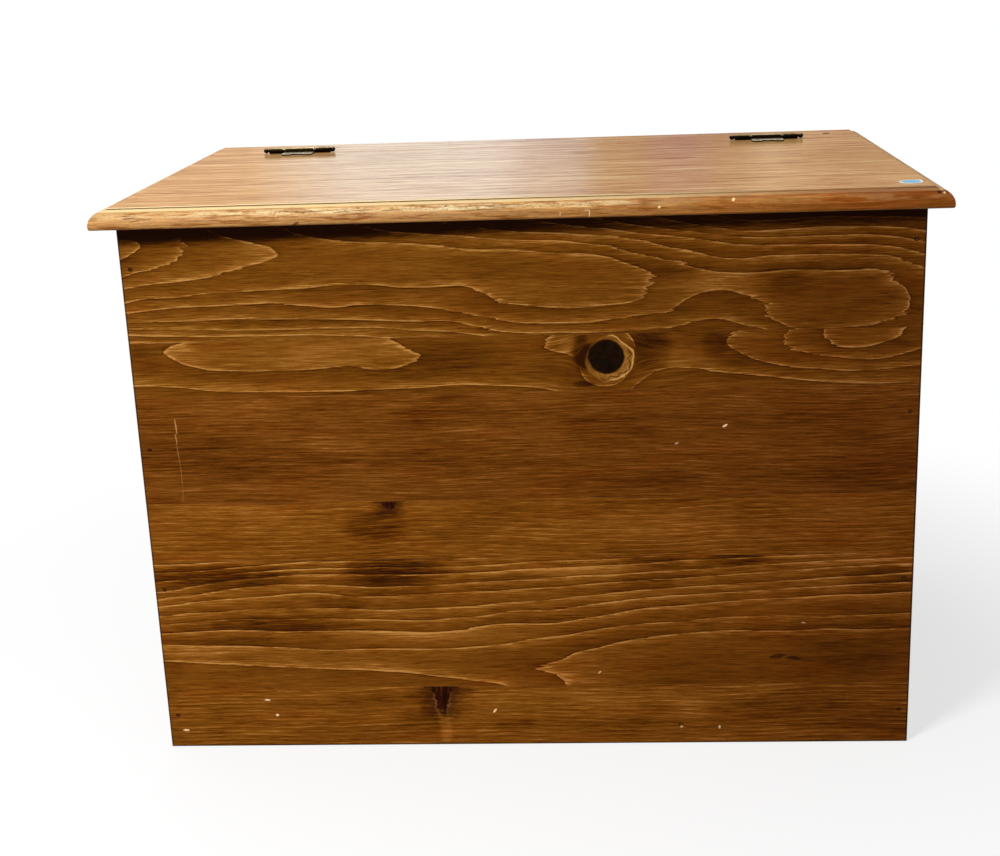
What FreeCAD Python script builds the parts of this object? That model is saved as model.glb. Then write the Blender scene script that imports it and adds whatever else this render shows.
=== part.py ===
import FreeCAD, Part
import math
import os

# A pine blanket chest with a lid that lifts on two ball-tip hinges.
# Millimetres, +Z up. The front faces -Y, and the origin is on the floor under the middle of the outline.

# Driving dimensions
BODY_WIDTH = 762.0  # across the front panel
BODY_DEPTH = 457.0  # front face to back face
BODY_HEIGHT = 552.0  # floor to the underside of the lid
BOARD = 19.0  # thickness of every solid board
OVERHANG = 20.0  # the lid and its rail past the sides, and the lid past the front
RAIL_DEPTH = 75.0  # back face to the hinge line
LID_GAP = 1.0  # open joint between the lid and the fixed rear rail
ARRIS = 1.2  # small chamfer on the carcass's outer edges

# Moulded edge of the lid and rail: a thumbnail round under a small step, called a quirk
QUIRK_DEPTH = 1.6
QUIRK_LAND = 1.8  # flat between the quirk and the round
THUMB_RADIUS = 13.6
UNDER_ROUND = 2.4
SEAM_EASE = 0.8  # small chamfer on the two edges along the open joint

# Glue joints between the boards of each panel, up from the floor or back from the lid's front edge
FRONT_SEAMS = (67.0, 208.5, 271.0, 381.0, 437.0)
BACK_SEAMS = (94.0, 212.0, 312.0, 442.0)
SIDE_SEAMS = (122.0, 207.0, 337.0, 432.0)
LID_SEAMS = (109.0, 207.0, 291.0)

# Floor of the chest: a plywood panel that lies on four cleats
PLY = 12.0
PLY_PLAY = 0.5
CLEAT = 19.0
CLEAT_LIFT = 6.0

# Two battens across the underside of the lid
BATTEN_X = 205.0
BATTEN_WIDTH = 45.0
BATTEN_THICKNESS = 16.0
BATTEN_FRONT = 62.0  # from the lid's front edge
BATTEN_LENGTH = 290.0
BATTEN_BEVEL = 5.0

# Ball-tip hinges: the lid leaf carries the centre knuckle, the rail leaf the two outer ones
HINGE_X = 276.5
BARREL_LENGTH = 72.4
CENTRE_KNUCKLE = 36.6
KNUCKLE_PLAY = 0.15
BARREL_RADIUS = 3.2
BARREL_LIFT = 0.3  # under the barrel
PIN_RADIUS = 1.6
PIN_PLAY = 0.05
BALL_RADIUS = 3.0
NECK_LENGTH = 0.85  # of bare pin before each ball
LEAF = 1.5
LID_LEAF_REACH = 24.0
LOBE_RADIUS = 6.3
MIDDLE_BULGE = 1.8  # of a scalloped edge, between its lobes
WINDOW_PLAY = 0.6  # round the lid leaf when the hinge is folded
WINDOW_REACH = 24.8
RAIL_LEAF_REACH = 35.0

# Fasteners, drawn with eight flat sides
FASTENER_SIDES = 8
SCREW_LENGTH = 15.0
SCREW_RADIUS = 1.7
SCREW_HEAD_RADIUS = 3.3
SCREW_PLAY = 0.05
BATTEN_SCREW_LENGTH = 28.0
BATTEN_SCREW_INSET = 45.0  # from the batten's ends
NAIL_RADIUS = 1.1
NAIL_SET = 0.8  # depth of the head under the surface
NAIL_LENGTH = 45.0
TAPER = 4.0  # length of a fastener's tapered end
TIP_RADIUS = 0.3
LEFT_NAIL_HEIGHTS = (36.6, 178.0, 328.0, 510.5)
RIGHT_NAIL_HEIGHTS = (37.0, 181.5, 353.5, 521.0)
RAIL_NAIL_XS = (-310.0, -104.0, 104.0, 310.0)
RAIL_SIDE_NAIL = 25.0  # behind the hinge line

# Places worked out from the dimensions above
LID_WIDTH = BODY_WIDTH + 2 * OVERHANG
LID_FRONT = -(BODY_DEPTH + OVERHANG) / 2
FRONT = LID_FRONT + OVERHANG
BACK = FRONT + BODY_DEPTH
SIDE = BODY_WIDTH / 2
INNER_SIDE = SIDE - BOARD
INNER_FRONT = FRONT + BOARD
INNER_BACK = BACK - BOARD
TOP = BODY_HEIGHT + BOARD
AXIS_Y = BACK - RAIL_DEPTH
AXIS_Z = TOP + BARREL_LIFT + BARREL_RADIUS
LID_BACK = AXIS_Y - LID_GAP / 2
RAIL_FRONT = AXIS_Y + LID_GAP / 2
LEAF_TOP = TOP + LEAF
CLEAT_TOP = CLEAT_LIFT + CLEAT

REACH = 1000.0  # larger than the whole chest
DIAGONAL = math.sin(math.radians(45))

RIGHT = FreeCAD.Vector(1, 0, 0)
REARWARD = FreeCAD.Vector(0, 1, 0)
FORWARD = FreeCAD.Vector(0, -1, 0)
UP = FreeCAD.Vector(0, 0, 1)
DOWN = FreeCAD.Vector(0, 0, -1)


def block(x_low, x_high, y_low, y_high, z_low, z_high):
    """A box between two corners."""
    corner = FreeCAD.Vector(x_low, y_low, z_low)
    return Part.makeBox(x_high - x_low, y_high - y_low, z_high - z_low, corner)


def only_solid(shape):
    """The one solid that a boolean operation has left."""
    if len(shape.Solids) != 1:
        raise ValueError(f"expected one solid and found {len(shape.Solids)}")
    return shape.Solids[0]


def chamfer(solid, size, on_edge):
    """Chamfers the straight edges whose two ends both satisfy on_edge(point)."""
    picked = [edge for edge in solid.Edges if all(on_edge(vertex.Point) for vertex in edge.Vertexes)]
    return only_solid(solid.makeChamfer(size, picked))


def split(panel, seams, slab):
    """The boards of a panel, lowest or foremost first. slab(low, high) is the space between two seams."""
    limits = (-REACH, *seams, REACH)
    return [only_solid(panel.common(slab(low, high))) for low, high in zip(limits, limits[1:])]


def height_slab(low, high):
    return block(-REACH, REACH, -REACH, REACH, low, high)


def depth_slab(low, high):
    return block(-REACH, REACH, low, high, -REACH, REACH)


def drill(board, tools):
    """The board with a hole for each fastener that reaches it."""
    near = [tool for tool in tools if tool.BoundBox.intersect(board.BoundBox)]
    return only_solid(board.cut(near)) if near else board


def polyline(points):
    """Straight edges through the points in turn."""
    return [Part.makeLine(start, end) for start, end in zip(points, points[1:])]


def arc(start, middle, end):
    return Part.Arc(start, middle, end).toShape()


def polygon_face(corners):
    """The flat face with these corners."""
    return Part.Face(Part.makePolygon([*corners, corners[0]]))


def face_of(edges):
    """The flat face inside a closed loop of edges given in any order."""
    return Part.Face(Part.Wire(Part.sortEdges(edges)[0]))


# Carcass


def covering_panel(y_outer, y_inner):
    """The front or back panel, which covers the ends of the sides. Its outer edges are chamfered."""
    y_low, y_high = sorted((y_outer, y_inner))
    panel = block(-SIDE, SIDE, y_low, y_high, 0, BODY_HEIGHT)
    return chamfer(panel, ARRIS, lambda point: abs(point.y - y_outer) < ARRIS)


def side_panel(side):
    """The left (-1) or right (+1) side, between the front and back panels."""
    x_low, x_high = sorted((side * SIDE, side * INNER_SIDE))
    panel = block(x_low, x_high, INNER_FRONT, INNER_BACK, 0, BODY_HEIGHT)
    return chamfer(panel, ARRIS, lambda point: abs(point.x - side * SIDE) < ARRIS and point.z < ARRIS)


def bottom_panel():
    """The plywood floor, a little smaller than the space between the panels."""
    return block(
        -INNER_SIDE + PLY_PLAY,
        INNER_SIDE - PLY_PLAY,
        INNER_FRONT + PLY_PLAY,
        INNER_BACK - PLY_PLAY,
        CLEAT_TOP,
        CLEAT_TOP + PLY,
    )


def long_cleat(y_low):
    """A cleat along the front or back panel."""
    return block(-INNER_SIDE, INNER_SIDE, y_low, y_low + CLEAT, CLEAT_LIFT, CLEAT_TOP)


def short_cleat(x_low):
    """A cleat along a side, between the two long ones."""
    return block(x_low, x_low + CLEAT, INNER_FRONT + CLEAT, INNER_BACK - CLEAT, CLEAT_LIFT, CLEAT_TOP)


# Lid and rear rail


def moulded_edge(place):
    """The moulded edge, from the underside up to the top. place(inward, height) puts a point of it."""
    shelf = BOARD - QUIRK_DEPTH
    spring = shelf - THUMB_RADIUS
    under_middle = UNDER_ROUND * (1 - DIAGONAL)
    quirk = THUMB_RADIUS + QUIRK_LAND
    return [
        arc(place(UNDER_ROUND, 0), place(under_middle, under_middle), place(0, UNDER_ROUND)),
        Part.makeLine(place(0, UNDER_ROUND), place(0, spring)),
        arc(
            place(0, spring),
            place(THUMB_RADIUS * (1 - DIAGONAL), spring + THUMB_RADIUS * DIAGONAL),
            place(THUMB_RADIUS, shelf),
        ),
        *polyline([place(THUMB_RADIUS, shelf), place(quirk, shelf), place(quirk, BOARD)]),
    ]


def cross_section(y):
    """The section from left to right, moulded at both ends, at a depth y."""

    def left(inward, height):
        return FreeCAD.Vector(-LID_WIDTH / 2 + inward, y, BODY_HEIGHT + height)

    def right(inward, height):
        return FreeCAD.Vector(LID_WIDTH / 2 - inward, y, BODY_HEIGHT + height)

    quirk = THUMB_RADIUS + QUIRK_LAND
    top = Part.makeLine(left(quirk, BOARD), right(quirk, BOARD))
    underside = Part.makeLine(left(UNDER_ROUND, 0), right(UNDER_ROUND, 0))
    return face_of([*moulded_edge(left), top, *moulded_edge(right), underside])


def lid_long_section():
    """The lid's section from front to back: a moulded front edge and a plain back edge."""

    def place(inward, height):
        return FreeCAD.Vector(-LID_WIDTH / 2, LID_FRONT + inward, BODY_HEIGHT + height)

    depth = LID_BACK - LID_FRONT
    plain = [
        place(THUMB_RADIUS + QUIRK_LAND, BOARD),
        place(depth - SEAM_EASE, BOARD),
        place(depth, BOARD - SEAM_EASE),
        place(depth, 0),
        place(UNDER_ROUND, 0),
    ]
    return face_of([*moulded_edge(place), *polyline(plain)])


def lid_panel():
    """The lid, whose mouldings meet in a mitre at the two front corners."""
    across = cross_section(LID_FRONT).extrude(REARWARD * (LID_BACK - LID_FRONT))
    along = lid_long_section().extrude(RIGHT * LID_WIDTH)
    return only_solid(across.common(along))


def rear_rail():
    """The fixed strip of the top behind the lid, moulded at its two ends."""
    rail = cross_section(RAIL_FRONT).extrude(REARWARD * (BACK - RAIL_FRONT))
    return chamfer(rail, SEAM_EASE, lambda point: point.y < RAIL_FRONT + LID_GAP and point.z > TOP - LID_GAP)


def lid_batten(side):
    """A batten under the lid, bevelled at its lower ends."""
    x_low = side * BATTEN_X - BATTEN_WIDTH / 2
    y_low = LID_FRONT + BATTEN_FRONT
    z_low = BODY_HEIGHT - BATTEN_THICKNESS
    batten = block(x_low, x_low + BATTEN_WIDTH, y_low, y_low + BATTEN_LENGTH, z_low, BODY_HEIGHT)
    return chamfer(batten, BATTEN_BEVEL, lambda point: point.z < z_low + BATTEN_BEVEL)


# Hinges, drawn round the origin with the pin along X and the lid towards -Y


def knuckle(x_low, x_high):
    """A rolled knuckle, still solid."""
    return Part.makeCylinder(BARREL_RADIUS, x_high - x_low, FreeCAD.Vector(x_low, 0, 0), RIGHT)


def bored(leaf):
    """The leaf with its pin hole."""
    radius = PIN_RADIUS + PIN_PLAY
    bore = Part.makeCylinder(radius, BARREL_LENGTH, FreeCAD.Vector(-BARREL_LENGTH / 2, 0, 0), RIGHT)
    return only_solid(leaf.cut(bore))


def scallop(half, reach):
    """A leaf's far edge: a round lobe at each end, reaching to reach, and a shallow bulge between."""
    (x_left, y), (x_right, _) = lobe_centres(half, reach)
    bulge = y + math.copysign(MIDDLE_BULGE, reach)

    def at(x, depth):
        return FreeCAD.Vector(x, depth, 0)

    return [
        arc(at(-half, y), at(x_left, reach), at(x_left + LOBE_RADIUS, y)),
        arc(at(x_left + LOBE_RADIUS, y), at(0, bulge), at(x_right - LOBE_RADIUS, y)),
        arc(at(x_right - LOBE_RADIUS, y), at(x_right, reach), at(half, y)),
    ]


def plate(outline):
    """A leaf's flat plate, under the barrel's level, from its closed outline."""
    flat = face_of(outline)
    flat.translate(DOWN * (BARREL_RADIUS + BARREL_LIFT))
    return flat.extrude(UP * LEAF)


def countersunk(leaf, screw_places):
    """The leaf with a seat for a screw head at each place."""
    top = LEAF - (BARREL_RADIUS + BARREL_LIFT)
    seat = [(0, SCREW_HEAD_RADIUS + SCREW_PLAY), (LEAF, SCREW_HEAD_RADIUS + SCREW_PLAY - LEAF)]
    seats = [spindle(seat, FreeCAD.Vector(x, y, top), DOWN) for x, y in screw_places]
    return only_solid(leaf.cut(seats))


def lobe_centres(half, reach):
    """The middles of a leaf's two lobes, where its screws go. half is half of the leaf's width."""
    x = half - LOBE_RADIUS
    y = math.copysign(abs(reach) - LOBE_RADIUS, reach)
    return [(-x, y), (x, y)]


def lid_leaf_screws():
    return lobe_centres(CENTRE_KNUCKLE / 2 - KNUCKLE_PLAY, -LID_LEAF_REACH)


def rail_leaf_screws():
    return lobe_centres(BARREL_LENGTH / 2, RAIL_LEAF_REACH)


def lid_leaf():
    """The leaf on the lid: one knuckle and a plate with a scalloped front edge."""
    half = CENTRE_KNUCKLE / 2 - KNUCKLE_PLAY
    shoulder = -(LID_LEAF_REACH - LOBE_RADIUS)
    corners = [
        FreeCAD.Vector(half, shoulder, 0),
        FreeCAD.Vector(half, 0, 0),
        FreeCAD.Vector(-half, 0, 0),
        FreeCAD.Vector(-half, shoulder, 0),
    ]
    outline = [*polyline(corners), *scallop(half, -LID_LEAF_REACH)]
    leaf = plate(outline).fuse(knuckle(-half, half))
    return countersunk(bored(leaf), lid_leaf_screws())


def rail_leaf():
    """The leaf on the rail: two knuckles and a frame with a window that the lid leaf folds into."""
    half = BARREL_LENGTH / 2
    inner = CENTRE_KNUCKLE / 2
    window = inner + WINDOW_PLAY
    shoulder = RAIL_LEAF_REACH - LOBE_RADIUS
    corners = [
        FreeCAD.Vector(half, shoulder, 0),
        FreeCAD.Vector(half, 0, 0),
        FreeCAD.Vector(window, 0, 0),
        FreeCAD.Vector(window, WINDOW_REACH, 0),
        FreeCAD.Vector(-window, WINDOW_REACH, 0),
        FreeCAD.Vector(-window, 0, 0),
        FreeCAD.Vector(-half, 0, 0),
        FreeCAD.Vector(-half, shoulder, 0),
    ]
    outline = [*polyline(corners), *scallop(half, RAIL_LEAF_REACH)]
    knuckles = [knuckle(inner, half), knuckle(-half, -inner)]
    leaf = plate(outline).fuse(knuckles)
    return countersunk(bored(leaf), rail_leaf_screws())


def hinge_pin():
    """The pin, with a short neck and a ball at each end."""
    ball_x = BARREL_LENGTH / 2 + NECK_LENGTH + BALL_RADIUS
    rod = Part.makeCylinder(PIN_RADIUS, 2 * ball_x, FreeCAD.Vector(-ball_x, 0, 0), RIGHT)
    balls = [Part.makeSphere(BALL_RADIUS, FreeCAD.Vector(side * ball_x, 0, 0)) for side in (-1, 1)]
    return only_solid(rod.fuse(balls))


def at_hinge(shape, side):
    """A hinge piece moved to the left (-1) or right (+1) hinge."""
    placed = shape.copy()
    placed.translate(FreeCAD.Vector(side * HINGE_X, AXIS_Y, AXIS_Z))
    return placed


# Fasteners


def spindle(sections, point, direction):
    """A straight fastener with flat sides. It starts at point and runs along direction through its
    sections, each a distance and a radius."""
    turns = [2 * math.pi * side / FASTENER_SIDES for side in range(FASTENER_SIDES)]
    rings = [
        [FreeCAD.Vector(radius * math.cos(turn), radius * math.sin(turn), z) for turn in turns]
        for z, radius in sections
    ]
    faces = [polygon_face(rings[0]), polygon_face(rings[-1])]
    for near, far in zip(rings, rings[1:]):
        for side in range(FASTENER_SIDES):
            faces.append(polygon_face([near[side - 1], near[side], far[side], far[side - 1]]))
    shape = Part.makeSolid(Part.makeShell(faces))
    shape.Placement = FreeCAD.Placement(point, FreeCAD.Rotation(UP, direction))
    return shape


def screw(point, direction, length):
    """A countersunk wood screw, with its head just under point."""
    sections = [
        (SCREW_PLAY, SCREW_HEAD_RADIUS),
        (SCREW_HEAD_RADIUS - SCREW_RADIUS, SCREW_RADIUS),
        (length - TAPER, SCREW_RADIUS),
        (length, TIP_RADIUS),
    ]
    return spindle(sections, point, direction)


def nail(point, direction, start=NAIL_SET):
    """A finishing nail driven at point, with its head set under the surface."""
    sections = [(start, NAIL_RADIUS), (NAIL_LENGTH - TAPER, NAIL_RADIUS), (NAIL_LENGTH, TIP_RADIUS)]
    return spindle(sections, point, direction)


def nail_hole(point, direction):
    """The hole of a set nail, with the pit over its head."""
    return nail(point, direction, start=0)


def corner_nail_places(y, inward):
    """Nails through a covering panel into the edges of both sides."""
    x = SIDE - BOARD / 2
    left = [(FreeCAD.Vector(-x, y, z), inward) for z in LEFT_NAIL_HEIGHTS]
    right = [(FreeCAD.Vector(x, y, z), inward) for z in RIGHT_NAIL_HEIGHTS]
    return left + right


def rail_nail_places():
    """Nails down through the rail into the back panel and the two sides."""
    y_back = BACK - BOARD / 2
    x_side = SIDE - BOARD / 2
    y_side = AXIS_Y + RAIL_SIDE_NAIL
    along = [(FreeCAD.Vector(x, y_back, TOP), DOWN) for x in RAIL_NAIL_XS]
    ends = [(FreeCAD.Vector(side * x_side, y_side, TOP), DOWN) for side in (-1, 1)]
    return along + ends


def batten_screw_places():
    """Two screws up through each batten into the lid."""
    front = LID_FRONT + BATTEN_FRONT + BATTEN_SCREW_INSET
    back = front + BATTEN_LENGTH - 2 * BATTEN_SCREW_INSET
    z = BODY_HEIGHT - BATTEN_THICKNESS
    return [
        (FreeCAD.Vector(side * BATTEN_X, y, z), UP, BATTEN_SCREW_LENGTH)
        for side in (-1, 1)
        for y in (front, back)
    ]


def leaf_screw_places(screw_places):
    """Screws down through one kind of leaf on both hinges."""
    return [
        (FreeCAD.Vector(side * HINGE_X + x, AXIS_Y + y, LEAF_TOP), DOWN, SCREW_LENGTH)
        for side in (-1, 1)
        for x, y in screw_places
    ]


def fastener_groups():
    """Each group of identical fasteners, and the holes that they need."""
    nails = {
        "front_nails": corner_nail_places(FRONT, REARWARD),
        "back_nails": corner_nail_places(BACK, FORWARD),
        "rail_nails": rail_nail_places(),
    }
    screws = {
        "lid_leaf_screws": leaf_screw_places(lid_leaf_screws()),
        "rail_leaf_screws": leaf_screw_places(rail_leaf_screws()),
        "batten_screws": batten_screw_places(),
    }
    groups = {name: [nail(*place) for place in places] for name, places in nails.items()}
    groups.update({name: [screw(*place) for place in places] for name, places in screws.items()})
    holes = {name: [nail_hole(*place) for place in places] for name, places in nails.items()}
    holes.update({name: groups[name] for name in screws})
    return groups, holes


# Assembly


def numbered(name, boards):
    """Names for a panel's boards, with number 1 first."""
    return {f"{name}_{number}": board for number, board in enumerate(boards, 1)}


def wooden_pieces():
    """Every wooden piece, before its nail and screw holes. Upright panels are numbered from the top."""
    lid_seams = [LID_FRONT + seam for seam in LID_SEAMS]
    front = split(covering_panel(FRONT, INNER_FRONT), FRONT_SEAMS, height_slab)
    back = split(covering_panel(BACK, INNER_BACK), BACK_SEAMS, height_slab)
    left = split(side_panel(-1), SIDE_SEAMS, height_slab)
    right = split(side_panel(1), SIDE_SEAMS, height_slab)
    return {
        **numbered("front_board", front[::-1]),
        **numbered("back_board", back[::-1]),
        **numbered("left_side_board", left[::-1]),
        **numbered("right_side_board", right[::-1]),
        **numbered("lid_board", split(lid_panel(), lid_seams, depth_slab)),
        "rear_rail": rear_rail(),
        "bottom_panel": bottom_panel(),
        "front_cleat": long_cleat(INNER_FRONT),
        "back_cleat": long_cleat(INNER_BACK - CLEAT),
        "left_cleat": short_cleat(-INNER_SIDE),
        "right_cleat": short_cleat(INNER_SIDE - CLEAT),
        "left_lid_batten": lid_batten(-1),
        "right_lid_batten": lid_batten(1),
    }


def hinge_pieces():
    """The leaves of both hinges, and their two pins."""
    pieces = {}
    for word, side in (("left", -1), ("right", 1)):
        pieces[f"{word}_hinge_lid_leaf"] = at_hinge(lid_leaf(), side)
        pieces[f"{word}_hinge_rail_leaf"] = at_hinge(rail_leaf(), side)
    pieces["hinge_pins"] = Part.makeCompound([at_hinge(hinge_pin(), side) for side in (-1, 1)])
    return pieces


def chest():
    """All pieces of the chest by name."""
    groups, holes = fastener_groups()
    tools = [hole for group in holes.values() for hole in group]
    pieces = {name: drill(board, tools) for name, board in wooden_pieces().items()}
    pieces.update(hinge_pieces())
    pieces.update({name: Part.makeCompound(solids) for name, solids in groups.items()})
    return pieces


os.makedirs("parts", exist_ok=True)
for name, shape in chest().items():
    shape.exportStep(f"parts/{name}.step")
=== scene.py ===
"""Looks of the pine blanket chest: figured boards under an amber stain, bronzed hinges, a pale studio."""
import math
import random

import bmesh
import bpy
import numpy as np
from mathutils import Matrix, Vector

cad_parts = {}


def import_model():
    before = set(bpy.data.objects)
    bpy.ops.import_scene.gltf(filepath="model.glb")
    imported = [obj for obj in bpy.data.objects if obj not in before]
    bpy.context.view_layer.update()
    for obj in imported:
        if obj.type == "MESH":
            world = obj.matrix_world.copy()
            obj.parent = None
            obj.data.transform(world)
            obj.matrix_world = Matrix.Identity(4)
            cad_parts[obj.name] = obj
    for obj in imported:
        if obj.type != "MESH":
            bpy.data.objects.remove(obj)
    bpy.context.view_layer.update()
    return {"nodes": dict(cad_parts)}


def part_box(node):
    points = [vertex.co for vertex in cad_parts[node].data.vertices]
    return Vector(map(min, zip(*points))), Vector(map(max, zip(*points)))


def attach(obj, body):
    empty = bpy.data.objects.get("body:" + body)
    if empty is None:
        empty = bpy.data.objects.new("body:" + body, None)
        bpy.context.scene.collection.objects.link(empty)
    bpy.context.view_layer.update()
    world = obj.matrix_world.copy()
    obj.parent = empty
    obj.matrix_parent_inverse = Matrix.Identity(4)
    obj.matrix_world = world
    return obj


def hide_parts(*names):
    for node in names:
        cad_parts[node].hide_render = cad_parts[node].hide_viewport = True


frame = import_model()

NODES = frame["nodes"]
MM = 0.001

# ---------------------------------------------------------------- places on the chest, mm
BODY_HALF_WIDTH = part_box("front_board_1")[1].x / MM
LID_HALF_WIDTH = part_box("lid_board_1")[1].x / MM
LID_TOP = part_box("lid_board_1")[1].z / MM
LID_STEP = 13.0  # the step of the lid's moulding, in from its edge
LEAF_TOP = LID_TOP + 1.5  # of the hinges' plates
HINGE_MIDDLE, HINGE_AXIS, HINGE_HEIGHT = 276.5, 163.5, 574.5  # x, y and z of the right pin's middle
HALF_KNUCKLE = 18.3  # half the length of a hinge's centre knuckle

# ---------------------------------------------------------------- camera, fitted to the photograph
IMAGE_WIDTH, IMAGE_HEIGHT = 1000, 856
FOCAL_PIXELS = 1456.7
CENTRE_PIXEL = (519.5, 365.6)
CAMERA_PLACE = Vector((0.0741, -1.5673, 0.7796))
CAMERA_DOWN, CAMERA_TURN, CAMERA_ROLL = 0.269, 0.056, -0.036  # radians
SENSOR = 36.0

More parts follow.
